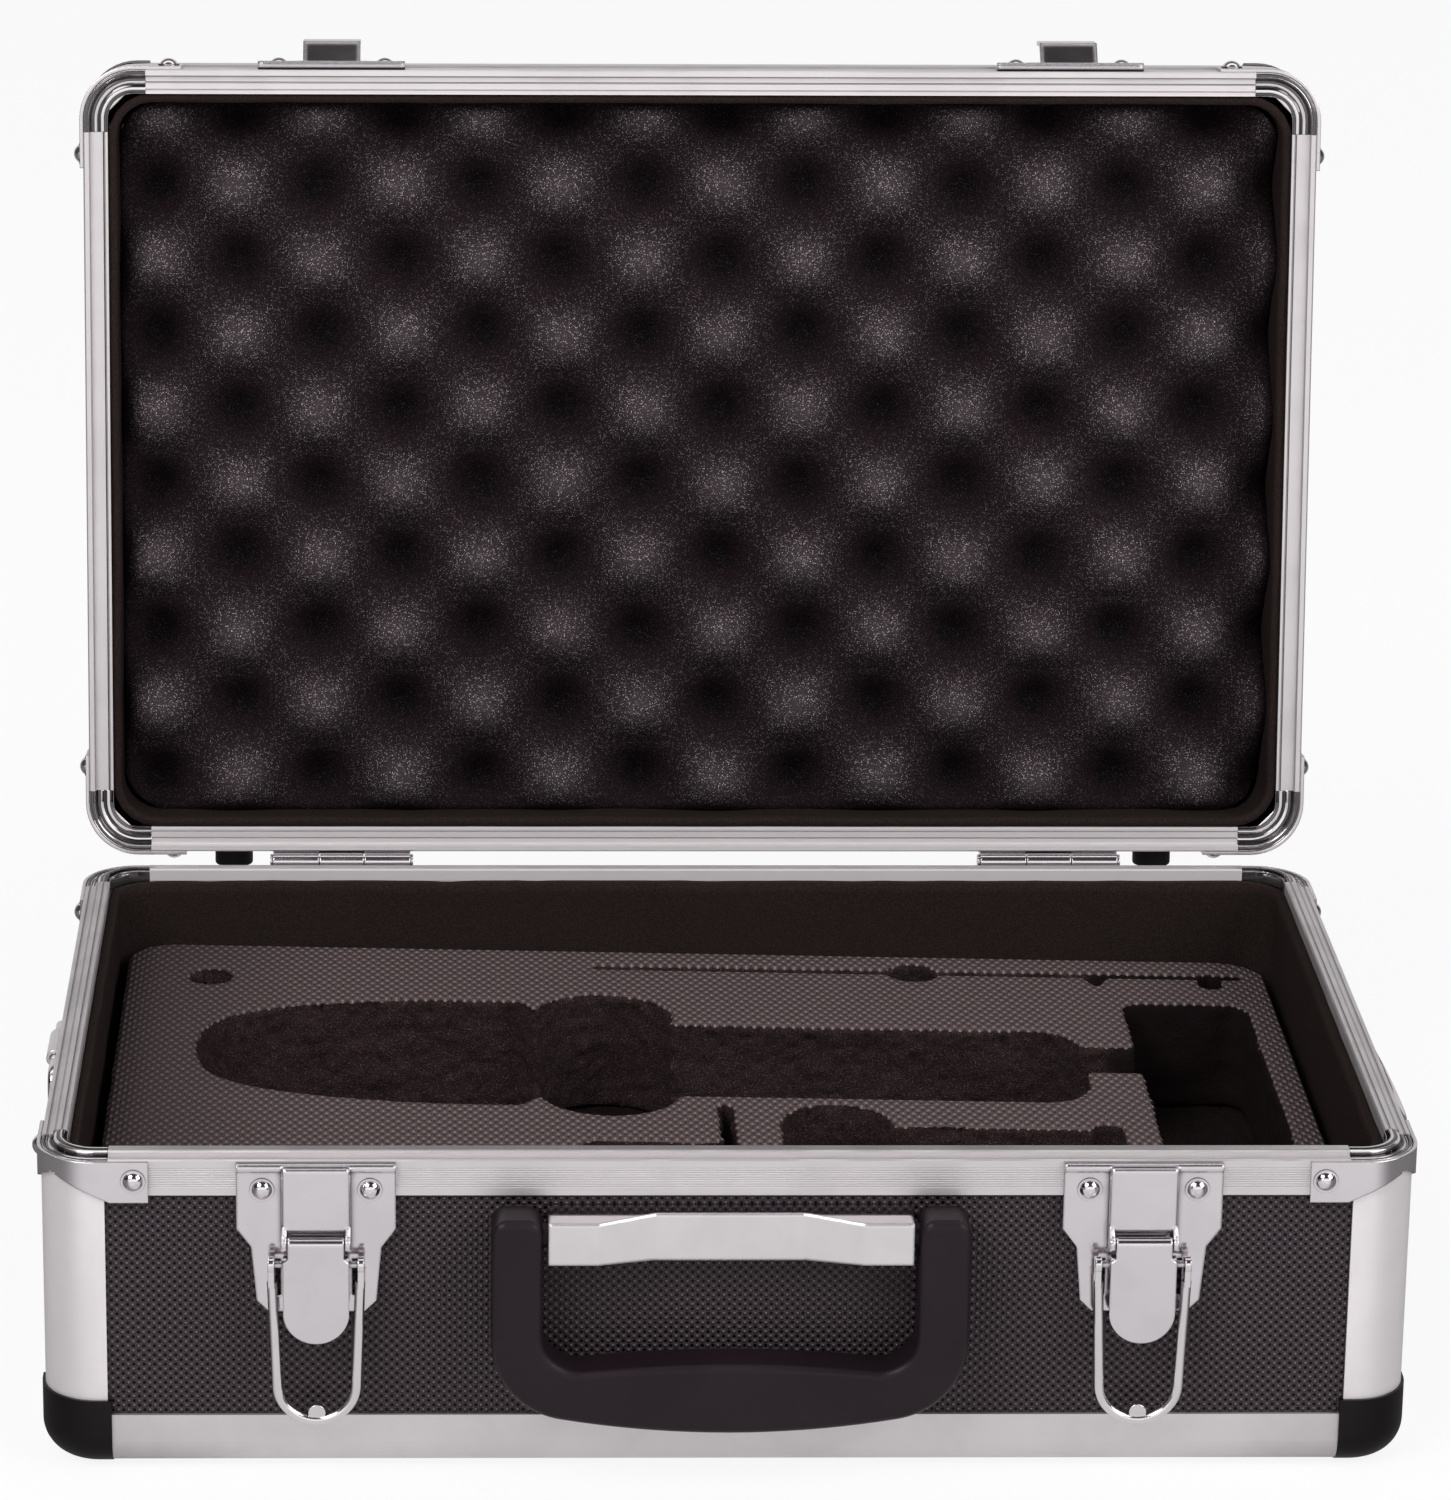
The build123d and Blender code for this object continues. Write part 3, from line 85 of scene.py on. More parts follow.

# Colours of painted shade in the extrusions' grooves, the plated pieces' creases and between ribs
DRAWN_GROOVE_PAINTED_SHADE = (0.45, 0.43, 0.44)
LIP_GROOVE_PAINTED_SHADE = (0.20, 0.19, 0.20)
CREASE_PAINTED_SHADE = (0.06, 0.055, 0.06)
RIB_VALLEY_PAINTED_SHADE = (0.05, 0.045, 0.05)

# The lamps' settings, places and widths, and the point that they face
LAMPS = (("key", (-1.1, -1.3, 1.7), 1.1), ("fill", (1.4, -0.9, 1.2), 1.2))
LAMP_AIM = Vector((0, 0, 0.15))

FULL_TURN = 2 * math.pi


def length(name, description, default):
    """A length property."""
    return FloatProperty(name=name, description=description, default=default, unit="LENGTH")


def tilt(name, description, default):
    """An angle property."""
    return FloatProperty(name=name, description=description, default=default, subtype="ANGLE")


def watts(name, description, default):
    """A property for a lamp's power."""
    return FloatProperty(name=name, description=description, default=default, unit="POWER")


def brightness(name, description, default):
    """A property for how light a part of the studio looks in metal."""
    return FloatProperty(name=name, description=description, default=default, min=0.0)


def colour(name, description, default):
    """A colour property."""
    return FloatVectorProperty(
        name=name, description=description, default=default, subtype="COLOR", size=3, min=0.0, max=1.0
    )


class CaseSizes(bpy.types.PropertyGroup):
    """Sizes of the patterns and of the soft parts."""

    stud_across: length("Stud pitch across", "Distance between studs in a row", 0.00265)
    stud_rows: length("Stud rows", "Distance between rows of studs", 0.00125)
    stud_height: length("Stud height", "How far a stud stands up", 0.0006)
    cell_across: length("Foam pitch across", "Distance between the insert's small pyramids", 0.0027)
    cell_rows: length("Foam rows", "Distance between rows of pyramids", 0.00235)
    insert_tilt: FloatProperty(
        name="Insert slope", description="Fall of the insert's top to the right, per metre", default=0.0188
    )
    insert_grid: length("Insert grid", "Size of the insert's mesh faces", 0.00125)
    pad_grid: length("Pad grid", "Size of the mesh faces of the pad under the insert", 0.0018)
    tear: length("Torn foam", "Roughness of the cut walls", 0.0010)
    egg_across: length("Egg crate pitch across", "Distance between valleys in a row", 0.0455)
    egg_up: length("Egg crate pitch up", "Distance between valleys in a column", 0.0424)
    egg_relief: length("Egg crate relief", "Height of a peak over the middle", 0.0075)
    egg_grid: length("Egg crate grid", "Size of the egg crate's mesh faces", 0.0015)
    lining_wave: length("Lining wave", "How much the lining's edge wanders", 0.0005)


class CaseColours(bpy.types.PropertyGroup):
    """Colours of the finishes."""

    aluminium: colour("Aluminium", "Extrusions round the case", (0.72, 0.68, 0.69))
    casting: colour("Castings", "Rim corners", (0.7875, 0.75, 0.7625))
    steel: colour("Plated steel", "Latches, hinges and corner brackets", (0.78, 0.735, 0.765))
    wire: colour("Wire", "Bails and strap rings", (0.82, 0.78, 0.79))
    chrome: colour("Chrome", "Bar of the handle", (0.85, 0.81, 0.83))
    board: colour("Boards", "Studded plastic on the boards", (0.046, 0.0355, 0.0405))
    grip: colour("Grip", "Plastic of the grip", (0.0115, 0.0062, 0.0092))
    corner: colour("Ball corners", "Plastic of the ball corners", (0.0048, 0.0030, 0.0036))
    lining: colour("Lining", "Thin foam on the walls", (0.026, 0.0165, 0.0148))
    insert: colour("Insert", "Top of the foam insert", (0.215, 0.160, 0.163))
    cut: colour("Cut foam", "Walls and floor of the cut-outs", (0.037, 0.0215, 0.0225))
    egg: colour("Egg crate", "Foam in the lid", (0.0118, 0.0052, 0.0075))
    # The specks are painted glints on the foams' cell walls
    speck: colour("Specks", "Cell walls that catch the light", (0.68, 0.575, 0.62))
    rubber: colour("Feet", "Rubber of the feet", (0.010, 0.009, 0.010))


class StudioSettings(bpy.types.PropertyGroup):
    """Camera and light."""

    camera_place: FloatVectorProperty(
        name="Camera place",
        description="Where the camera stands",
        default=HINGE + Vector((-0.06938, -1.59451, 0.55599)),
        subtype="TRANSLATION",
        size=3,
    )
    camera_yaw: tilt("Yaw", "Turn to the right", 0.0168)
    camera_pitch: tilt("Pitch", "Turn downwards", 0.304)
    camera_roll: tilt("Roll", "Turn about the line of sight", -0.0059)
    focal_pixels: FloatProperty(
        name="Focal length in pixels", description="For a picture 1500 pixels high", default=5920.1
    )
    picture_height: IntProperty(
        name="Picture height", description="Pixels that the focal length is given for", default=1500
    )
    picture_shift: FloatVectorProperty(
        name="Shift",
        description="Shift of the frame, in shares of its height",
        default=(0.1189, -0.0498),
        size=2,
    )
    sky: FloatProperty(name="Sky", description="Strength of the even light", default=0.5)
    floor_glow: FloatProperty(
        name="Floor glow", description="Share of the floor's white that no shadow darkens", default=0.88
    )
    front_tone: brightness("Room tone", "How light the floor and room in front look in metal", 0.79)
    low_light: brightness("Low light", "How light the wide light low in front looks in metal", 1.2)
    gap_tone: brightness("Gap tone", "How light the dark between the two lights looks in metal", 0.04)
    high_light: brightness("Overhead light", "How light the overhead light looks in metal", 1.3)
    far_gap_tone: brightness("Far gap tone", "How light the dark behind it looks in metal", 0.12)
    back_tone: brightness("Back tone", "How light the room behind the case looks in metal", 0.62)
    side_tone: brightness("Side tone", "How much of it is left at the room's sides", 0.14)
    key: watts("Key lamp", "Power of the lamp on the left", 26.0)
    fill: watts("Fill lamp", "Power of the lamp on the right", 17.0)


# Shader nodes
def add_node(tree, kind, inputs=None, **settings):
    """Adds a shader node. Each input takes a value or another node's output."""
    made = tree.nodes.new(kind)
    for name, value in settings.items():
        setattr(made, name, value)
    for name, value in (inputs or {}).items():
        if isinstance(value, bpy.types.NodeSocket):
            tree.links.new(value, made.inputs[name])
        else:
            made.inputs[name].default_value = value
    return made


def calc(tree, operation, first, second=0.0, third=0.0):
    """The output of one Math node."""
    return add_node(tree, "ShaderNodeMath", {0: first, 1: second, 2: third}, operation=operation).outputs[0]


def ease(tree, value, low, high, to_low=0.0, to_high=1.0):
    """A smooth step of value from low to high."""
    inputs = {"Value": value, "From Min": low, "From Max": high, "To Min": to_low, "To Max": to_high}
    return add_node(tree, "ShaderNodeMapRange", inputs, interpolation_type="SMOOTHSTEP").outputs["Result"]


def blend_colour(tree, factor, first, second):
    """A mix of two colours."""
    made = add_node(tree, "ShaderNodeMix", {"Factor": factor}, data_type="RGBA")
    for socket, value in ((made.inputs[6], first), (made.inputs[7], second)):
        if isinstance(value, bpy.types.NodeSocket):
            tree.links.new(value, socket)
        else:
            socket.default_value = (*value, 1.0)
    return made.outputs[2]


def times(shade, factor):
    """A colour made lighter or darker."""
    return [channel * factor for channel in shade]


def vector_calc(tree, operation, first, second=(0, 0, 0)):
    """One Vector Math node. Its outputs are the vector and the value."""
    return add_node(tree, "ShaderNodeVectorMath", {0: first, 1: second}, operation=operation).outputs


def surface_place(tree):
    """The place of a surface point in the rest frame."""
    return add_node(tree, "ShaderNodeTexCoord").outputs["Object"]


def along(tree, direction):
    """The place of a surface point along a direction, in the rest frame."""
    return vector_calc(tree, "DOT_PRODUCT", surface_place(tree), direction)["Value"]


def cosine_wave(tree, value, spacing, turn=FULL_TURN):
    """A cosine over a distance, which turns by the given angle in each spacing."""
    return calc(tree, "COSINE", calc(tree, "MULTIPLY", calc(tree, "DIVIDE", value, spacing), turn))


def distance_from(tree, direction, middle):
    """How far a surface point lies from a middle along a direction, on either side."""
    return calc(tree, "ABSOLUTE", calc(tree, "SUBTRACT", along(tree, direction), middle))


def noise_texture(tree, place, scale, **values):
    """The value of one Noise Texture."""
    inputs = {"Vector": place, "Scale": scale, **{label_of(word): value for word, value in values.items()}}
    return add_node(tree, "ShaderNodeTexNoise", inputs).outputs["Fac"]


def label_of(word):
    """The name of the socket that a keyword stands for."""
    return word.replace("_", " ").title().replace("Ior", "IOR")


def feed(tree, sockets, **values):
    """Links nodes' outputs into named sockets of a shader or of a group's end."""
    for word, value in values.items():
        tree.links.new(value, sockets[label_of(word)])


def new_group(name, inputs, outputs):
    """Starts a shader node group, and gives its tree, its inputs and its outputs."""
    tree = bpy.data.node_groups.new(name, "ShaderNodeTree")
    for label, kind, default in inputs:
        socket = tree.interface.new_socket(label, in_out="INPUT", socket_type="NodeSocket" + kind)
        socket.default_value = default
    for label in outputs:
        tree.interface.new_socket(label, in_out="OUTPUT", socket_type="NodeSocketFloat")
    return tree, add_node(tree, "NodeGroupInput").outputs, add_node(tree, "NodeGroupOutput").inputs


def staggered_bumps_group():
    """Rows of small bumps, each row shifted by half a pitch from the last."""
    tree, given, result = new_group(
        "Staggered Bumps",
        [
            ("Across", "Vector", (1, 0, 0)),
            ("Up", "Vector", (0, 0, 1)),
            ("Pitch", "Float", 0.0027),
            ("Rows", "Float", 0.0013),
            ("Sharpness", "Float", 1.5),
        ],
        ["Height", "Tips", "Gaps"],
    )
    wave_across = cosine_wave(tree, along(tree, given["Across"]), given["Pitch"])
    wave_up = cosine_wave(tree, along(tree, given["Up"]), given["Rows"], FULL_TURN / 2)
    product = calc(tree, "MULTIPLY", wave_across, wave_up)
    wave = calc(tree, "MAXIMUM", product, 0.0)
    height = calc(tree, "POWER", wave, given["Sharpness"])
    gaps = ease(tree, calc(tree, "MULTIPLY", product, -1.0), 0.25, 0.65)
    feed(tree, result, height=height, tips=ease(tree, wave, 0.6, 0.92), gaps=gaps)
    return tree


def handling_group():
    """Fine scratches and soft marks from handling."""
    tree, given, result = new_group(
        "Handling Marks",
        [("Scale", "Float", 1.0), ("Stretch", "Vector", (1, 1, 1))],
        ["Scratches", "Marks"],
    )
    place = surface_place(tree)
    stretched = vector_calc(tree, "MULTIPLY", place, given["Stretch"])["Vector"]
    fine = calc(tree, "MULTIPLY", given["Scale"], 2600.0)
    soft = calc(tree, "MULTIPLY", given["Scale"], 70.0)
    scratches = noise_texture(tree, stretched, fine, detail=3.0, roughness=0.6)
    marks = noise_texture(tree, place, soft, detail=3.0, distortion=0.4)
    feed(tree, result, scratches=scratches, marks=ease(tree, marks, 0.35, 0.7))
    return tree


def extrusion_lines_group():
    """Fine lines that run along an extrusion, between two distances from the seam."""
    tree, given, result = new_group(
        "Extrusion Lines",
        [
            ("Up", "Vector", (0, 0, 1)),
            ("Seam", "Float", BASE_SEAM),
            ("From", "Float", 0.0022),
            ("To", "Float", 0.0078),
            ("Spacing", "Float", 0.00062),
            ("Width", "Float", 0.44),
        ],
        ["Height", "Lines"],
    )
    drop = distance_from(tree, given["Up"], given["Seam"])
    past_first = calc(tree, "GREATER_THAN", drop, given["From"])
    inside = calc(tree, "MULTIPLY", past_first, calc(tree, "LESS_THAN", drop, given["To"]))
    edge = calc(tree, "COSINE", calc(tree, "MULTIPLY", given["Width"], math.pi))
    groove = ease(tree, cosine_wave(tree, drop, given["Spacing"]), edge, 1.0)
    groove = calc(tree, "MULTIPLY", groove, inside)
    feed(tree, result, height=calc(tree, "SUBTRACT", 1.0, groove), lines=groove)
    return tree


def corner_ribs_group():
    """Bands that run along the sides and turn round a rectangle's rounded corners."""
    tree, given, result = new_group(
        "Corner Ribs",
        [
            ("Across", "Vector", (1, 0, 0)),
            ("Back", "Vector", (0, 1, 0)),
            ("Middle", "Vector", (0, 0, 0)),
            ("Half Across", "Float", RIM_HALF_ACROSS),
            ("Half Back", "Float", RIM_HALF_BACK),
            ("Radius", "Float", RIM_RADIUS),
            ("Spacing", "Float", 0.0018),
        ],
        ["Valleys"],
    )
    beyond = []
    for direction, half in ((given["Across"], given["Half Across"]), (given["Back"], given["Half Back"])):
        centre = vector_calc(tree, "DOT_PRODUCT", given["Middle"], direction)["Value"]
        aside = distance_from(tree, direction, centre)
        straight = calc(tree, "SUBTRACT", half, given["Radius"])
        beyond.append(calc(tree, "MAXIMUM", calc(tree, "SUBTRACT", aside, straight), 0.0))
    squares = [calc(tree, "MULTIPLY", reach, reach) for reach in beyond]
    depth = calc(tree, "SUBTRACT", given["Radius"], calc(tree, "SQRT", calc(tree, "ADD", *squares)))
    wave = cosine_wave(tree, depth, given["Spacing"])
    feed(tree, result, valleys=ease(tree, calc(tree, "MULTIPLY", wave, -1.0), -0.25, 0.35))
    return tree


def open_cells_group():
    """The pores of cut foam, and specks for painted glints on its cell walls."""
    tree, given, result = new_group(
        "Open Cells",
        [("Cell Size", "Float", 0.0006), ("Sparkle", "Float", 0.1)],
        ["Height", "Pores", "Specks"],
    )
    place = surface_place(tree)
    scale = calc(tree, "DIVIDE", 1.0, given["Cell Size"])
    cells = add_node(tree, "ShaderNodeTexVoronoi", {"Vector": place, "Scale": scale}).outputs
    lumps = noise_texture(tree, place, calc(tree, "MULTIPLY", scale, 0.35), detail=3.0)
    height = calc(tree, "ADD", calc(tree, "MULTIPLY", cells["Distance"], 0.6), lumps)
    chance = add_node(tree, "ShaderNodeSeparateColor", {"Color": cells["Color"]}).outputs["Red"]
    bright = calc(tree, "SUBTRACT", chance, calc(tree, "SUBTRACT", 1.0, given["Sparkle"]))
    bright = calc(tree, "DIVIDE", bright, given["Sparkle"])
    bright = calc(tree, "POWER", calc(tree, "MAXIMUM", bright, 0.0), 2.4)
    near = calc(tree, "SUBTRACT", 1.0, ease(tree, cells["Distance"], 0.25, 0.5))
    pores = ease(tree, cells["Distance"], 0.1, 0.6)
    feed(tree, result, height=height, pores=pores, specks=calc(tree, "MULTIPLY", bright, near))
    return tree


def moulded_grain_group():
    """The fine grain of moulded plastic."""
    tree, given, result = new_group("Moulded Grain", [("Scale", "Float", 1.0)], ["Height", "Patches"])
    place = surface_place(tree)
    fine = calc(tree, "MULTIPLY", given["Scale"], 1800.0)
    soft = calc(tree, "MULTIPLY", given["Scale"], 45.0)
    grain = add_node(tree, "ShaderNodeTexVoronoi", {"Vector": place, "Scale": fine})
    patches = noise_texture(tree, place, soft, detail=4.0)
    feed(tree, result, height=grain.outputs["Distance"], patches=ease(tree, patches, 0.3, 0.75))
    return tree


GROUPS = {
    "Staggered Bumps": staggered_bumps_group,
    "Handling Marks": handling_group,
    "Extrusion Lines": extrusion_lines_group,
    "Corner Ribs": corner_ribs_group,
    "Open Cells": open_cells_group,
    "Moulded Grain": moulded_grain_group,
}


def use_group(tree, name, **values):
    """Places one of the shared effects in a material, with its own values."""
    made = tree.nodes.new("ShaderNodeGroup")
    made.node_tree = bpy.data.node_groups.get(name) or GROUPS[name]()
    for word, value in values.items():
        made.inputs[label_of(word)].default_value = value
    return made.outputs


def new_material(name, **constants):
    """A material with a Principled shader, whose plain values are set on its own sockets."""
    material = bpy.data.materials.new(name)
    material.use_nodes = True
    tree = material.node_tree
    shader = tree.nodes["Principled BSDF"]
    for word, value in constants.items():
        shader.inputs[label_of(word)].default_value = value
    return material, tree, shader


def bump(tree, shader, height, distance, strength=1.0, under=None):
    """Feeds a height into the shader's normal, over another bump's normal if one is given."""
    inputs = {"Height": height, "Distance": distance, "Strength": strength}
    if under is not None:
        inputs["Normal"] = under
    normal = add_node(tree, "ShaderNodeBump", inputs).outputs["Normal"]
    feed(tree, shader.inputs, normal=normal)
    return normal


# Materials
def satin_aluminium(name, up=UP, seam=BASE_SEAM, lip=None, roughness=0.4, painted_lightness=1.0, metallic=0.78):
    """Anodised aluminium, a little matt.

    A rim's lip is a direction, the case's middle and its lines' places. Such an extrusion also has
    fine drawn lines near the seam and on the lip, with painted shade in their grooves, and is duller
    inside the lip.
    """
    shades = bpy.context.scene.case_colours
    material, tree, shader = new_material(name, metallic=metallic)
    stretch = (0.04, 0.04, 1.0) if up == UP else (0.04, 1.0, 0.04)
    marks = use_group(tree, "Handling Marks", scale=0.8, stretch=stretch)
    # A lightness above 1 paints light on parts that the lamps light more
    clean = times(shades.aluminium, painted_lightness)
    shade = blend_colour(tree, marks["Marks"], clean, times(clean, 0.93))
    rough = ease(tree, marks["Marks"], 0.0, 1.0, roughness - 0.04, roughness + 0.06)
    normal = bump(tree, shader, marks["Scratches"], distance=0.00002, strength=0.5)
    if lip is not None:
        drawn = use_group(tree, "Extrusion Lines", up=up, seam=seam)
        # Painted shade in the grooves of the drawn lines
        shade = blend_colour(tree, calc(tree, "MULTIPLY", drawn["Lines"], 0.3), shade, DRAWN_GROOVE_PAINTED_SHADE)
        normal = bump(tree, shader, drawn["Height"], distance=0.00012, strength=0.8, under=normal)
        direction, middle, places = lip
        centre, inner = direction.dot(middle), places["from"]
        ridges = use_group(tree, "Extrusion Lines", up=direction, seam=centre, **places)
        # Painted shade in the grooves of the lip's lines
        shade = blend_colour(tree, calc(tree, "MULTIPLY", ridges["Lines"], 0.6), shade, LIP_GROOVE_PAINTED_SHADE)
        bump(tree, shader, ridges["Height"], distance=0.0003, strength=0.9, under=normal)
        beyond = ease(tree, distance_from(tree, direction, centre), inner - 0.0002, inner + 0.0003)
        feed(tree, shader.inputs, metallic=calc(tree, "MULTIPLY_ADD", beyond, 0.6, 0.18))
    feed(tree, shader.inputs, base_color=shade, roughness=rough)
    return material


def plated_metal(name, shade, roughness, marked=0.05, edge=0.0005, metallic=1.0, ribs=None):
    """Nickel or chrome plate, with handling marks in its gloss and painted shade in its creases.

    The press rounds its edges. Cast corners also have ribs, given by their back direction and middle,
    with painted shade in the valleys between them.
    """
    material, tree, shader = new_material(name, metallic=metallic)
    marks = use_group(tree, "Handling Marks", scale=1.0)
    tint = blend_colour(tree, marks["Marks"], shade, times(shade, 0.95))
    # Painted shade in the creases, where the occlusion is high
    open_sky = add_node(tree, "ShaderNodeAmbientOcclusion", {"Distance": 0.0022}, samples=6).outputs["AO"]
    tint = blend_colour(tree, ease(tree, open_sky, 0.35, 0.85), CREASE_PAINTED_SHADE, tint)
    rounded = None
    if edge:
        rounded = add_node(tree, "ShaderNodeBevel", {"Radius": edge}, samples=6).outputs["Normal"]
    if ribs is not None:
        back, middle = ribs
        valleys = use_group(tree, "Corner Ribs", back=back, middle=middle)["Valleys"]
        height = calc(tree, "SUBTRACT", 1.0, valleys)
        rounded = bump(tree, shader, height, distance=0.0007, under=rounded)
        # Painted shade in the valleys between the ribs
        tint = blend_colour(tree, calc(tree, "MULTIPLY", valleys, 0.88), tint, RIB_VALLEY_PAINTED_SHADE)
    rough = calc(tree, "MULTIPLY_ADD", marks["Marks"], marked, roughness)
    feed(tree, shader.inputs, base_color=tint, roughness=rough)
    bump(tree, shader, marks["Scratches"], distance=0.00001, strength=0.35, under=rounded)
    return material


def studded_board(name, across, up):
    """Black plastic on board, pressed with studs that have painted highlights and painted shadows."""
    sizes, shades = bpy.context.scene.case_sizes, bpy.context.scene.case_colours
    material, tree, shader = new_material(name, specular_ior_level=0.12)
    spacing = {"pitch": sizes.stud_across, "rows": sizes.stud_rows}
    studs = use_group(tree, "Staggered Bumps", across=across, up=up, **spacing)
    grain = use_group(tree, "Moulded Grain", scale=1.3)
    # Painted highlights on the studs' tips, and painted shadows in the gaps between them
    shade = blend_colour(tree, studs["Tips"], shades.board, times(shades.board, 4.0))
    shade = blend_colour(tree, studs["Gaps"], shade, times(shades.board, 0.02))
    rough = calc(tree, "MULTIPLY_ADD", studs["Tips"], -0.08, 0.3)
    rough = calc(tree, "MULTIPLY_ADD", grain["Patches"], 0.06, rough)
    feed(tree, shader.inputs, base_color=shade, roughness=rough)
    under = bump(tree, shader, grain["Height"], distance=0.00002, strength=0.5)
    bump(tree, shader, studs["Height"], sizes.stud_height, under=under)
    return material


def moulded_plastic(name, shade, roughness):
    """Moulded plastic or rubber with a fine grain."""
    material, tree, shader = new_material(name, specular_ior_level=0.21)
    grain = use_group(tree, "Moulded Grain", scale=1.0)
    tint = blend_colour(tree, grain["Patches"], shade, times(shade, 1.25))
    rough = calc(tree, "MULTIPLY_ADD", grain["Patches"], 0.1, roughness)
    feed(tree, shader.inputs, base_color=tint, roughness=rough)
    bump(tree, shader, grain["Height"], distance=0.00004, strength=0.6)
    return material


def mask_of(tree, name):
    """A mask kept on the mesh's points."""
    return add_node(tree, "ShaderNodeAttribute", attribute_name=name).outputs["Fac"]


def insert_foam(name):
    """Grey foam with small pyramids pressed into its top, and dark torn walls where it is cut.

    The top has painted light on the pyramids, painted shade between them and a painted shadow at its
    left end. The torn walls have painted glints.
    """
    sizes, shades = bpy.context.scene.case_sizes, bpy.context.scene.case_colours
    material, tree, shader = new_material(name, specular_ior_level=0.12)
    spacing = {"pitch": sizes.cell_across, "rows": sizes.cell_rows}
    lattice = use_group(tree, "Staggered Bumps", across=ACROSS, up=BACK, sharpness=0.5, **spacing)
    cells = use_group(tree, "Open Cells", cell_size=0.00045, sparkle=0.5)
    jagged = calc(tree, "SUBTRACT", 0.4, lattice["Height"])
    jagged = calc(tree, "MULTIPLY_ADD", jagged, 0.45, mask_of(tree, "cut_wall"))
    walls = ease(tree, jagged, 0.4, 0.62)
    top = calc(tree, "SUBTRACT", 1.0, walls)
    # Painted light on the pyramids' tops, and painted shade on their low parts and in the gaps
    face = blend_colour(tree, lattice["Height"], times(shades.insert, 0.5), times(shades.insert, 1.15))
    face = blend_colour(tree, lattice["Gaps"], face, times(shades.insert, 0.2))
    # Painted shadow at the left end of the top, where the wall shades it
    left_painted_shadow = ease(tree, along(tree, ACROSS), DARK_LEFT, LIGHT_LEFT, 0.5, 0.0)
    face = blend_colour(tree, left_painted_shadow, face, times(shades.insert, 0.12))
    cut = blend_colour(tree, cells["Pores"], times(shades.cut, 1.5), times(shades.cut, 0.6))
    # Painted glints on the torn walls' cell walls
    cut = blend_colour(tree, calc(tree, "MULTIPLY", cells["Specks"], 0.12), cut, shades.speck)
    tray = ease(tree, along(tree, ACROSS), TRAY_LEFT, TRAY_LEFT + 0.005)
    cut = blend_colour(tree, tray, cut, times(shades.cut, 0.3))
    shade = blend_colour(tree, walls, face, cut)
    rough = calc(tree, "MULTIPLY_ADD", cells["Pores"], 0.15, 0.78)
    feed(tree, shader.inputs, base_color=shade, roughness=rough)
    torn = calc(tree, "MULTIPLY_ADD", walls, 0.7, 0.2)
    under = bump(tree, shader, cells["Height"], distance=0.0004, strength=torn)
    bump(tree, shader, calc(tree, "MULTIPLY", lattice["Height"], top), distance=0.0013, under=under)
    return material


def dark_foam(name, shade, cell_size, depth, specks=0.0, mask=None):
    """Black foam with open pores. Where a mask is given, its low places get painted shade, and its high
    places painted light and painted glints on their cell walls.
    """
    shades = bpy.context.scene.case_colours
    material, tree, shader = new_material(name, specular_ior_level=0.12)
    cells = use_group(tree, "Open Cells", cell_size=cell_size, sparkle=specks)
    tint = blend_colour(tree, cells["Pores"], times(shade, 1.35), times(shade, 0.55))
    if mask is not None:
        raised = mask_of(tree, mask)
        # Painted shade in the low places
        tint = blend_colour(tree, ease(tree, raised, 0.02, 0.3), times(shade, 0.2), tint)
        # Painted light on the high places
        peak_painted_light = calc(tree, "MULTIPLY", calc(tree, "POWER", raised, 3.4), 0.062)
        tint = blend_colour(tree, peak_painted_light, tint, shades.speck)
        # Painted glints on the high places' cell walls
        lit = calc(tree, "MULTIPLY", cells["Specks"], ease(tree, raised, 0.3, 1.0, 0.08, 1.0))
        tint = blend_colour(tree, lit, tint, shades.speck)
    rough = calc(tree, "MULTIPLY_ADD", cells["Pores"], 0.1, 0.82)
    feed(tree, shader.inputs, base_color=tint, roughness=rough)
    bump(tree, shader, cells["Height"], depth, strength=0.8)
    return material


# CAD nodes and new pieces
def finish_nodes(material, *names):
    """Gives CAD nodes a finish, in every slot that they have."""
    for name in names:
        mesh = frame["nodes"][name].data
        if not mesh.materials:
            mesh.materials.append(material)
        for slot in range(len(mesh.materials)):
            mesh.materials[slot] = material


def mesh_size(size):
    return size


def new_piece(name, points, faces, material):
    """Makes a piece from points and faces, shaded smoothly."""
    mesh = bpy.data.meshes.new(name)
    mesh.from_pydata([tuple(p) for p in points], [], [tuple(f) for f in faces])
    mesh.validate()
    mesh.update()
    mesh.shade_smooth()
    mesh.materials.append(material)
    piece = bpy.data.objects.new(name, mesh)
    bpy.context.scene.collection.objects.link(piece)
    return piece


def remeshed(node, name, size):
    """A copy of a CAD node with an even skin of small faces."""
    source = bpy.data.objects.new(name + "_source", frame["nodes"][node].data.copy())
    bpy.context.scene.collection.objects.link(source)
    skin = source.modifiers.new("Skin", "REMESH")
    skin.mode = "VOXEL"
    skin.voxel_size = size
    depsgraph = bpy.context.evaluated_depsgraph_get()
    mesh = bpy.data.meshes.new_from_object(source.evaluated_get(depsgraph))
    bpy.data.objects.remove(source)
    mesh.name = name
    mesh.materials.clear()
    piece = bpy.data.objects.new(name, mesh)
    bpy.context.scene.collection.objects.link(piece)
    return piece


def read_points(mesh):
    """The mesh's points and their normals, as arrays."""
    points = np.zeros(len(mesh.vertices) * 3)
    normals = np.zeros(len(mesh.vertices) * 3)
    mesh.vertices.foreach_get("co", points)
    mesh.vertices.foreach_get("normal", normals)
    return points.reshape(-1, 3), normals.reshape(-1, 3)


def write_points(mesh, points):
    """Puts moved points back in the mesh."""
    mesh.vertices.foreach_set("co", np.ascontiguousarray(points, dtype=np.float32).ravel())
    mesh.update()


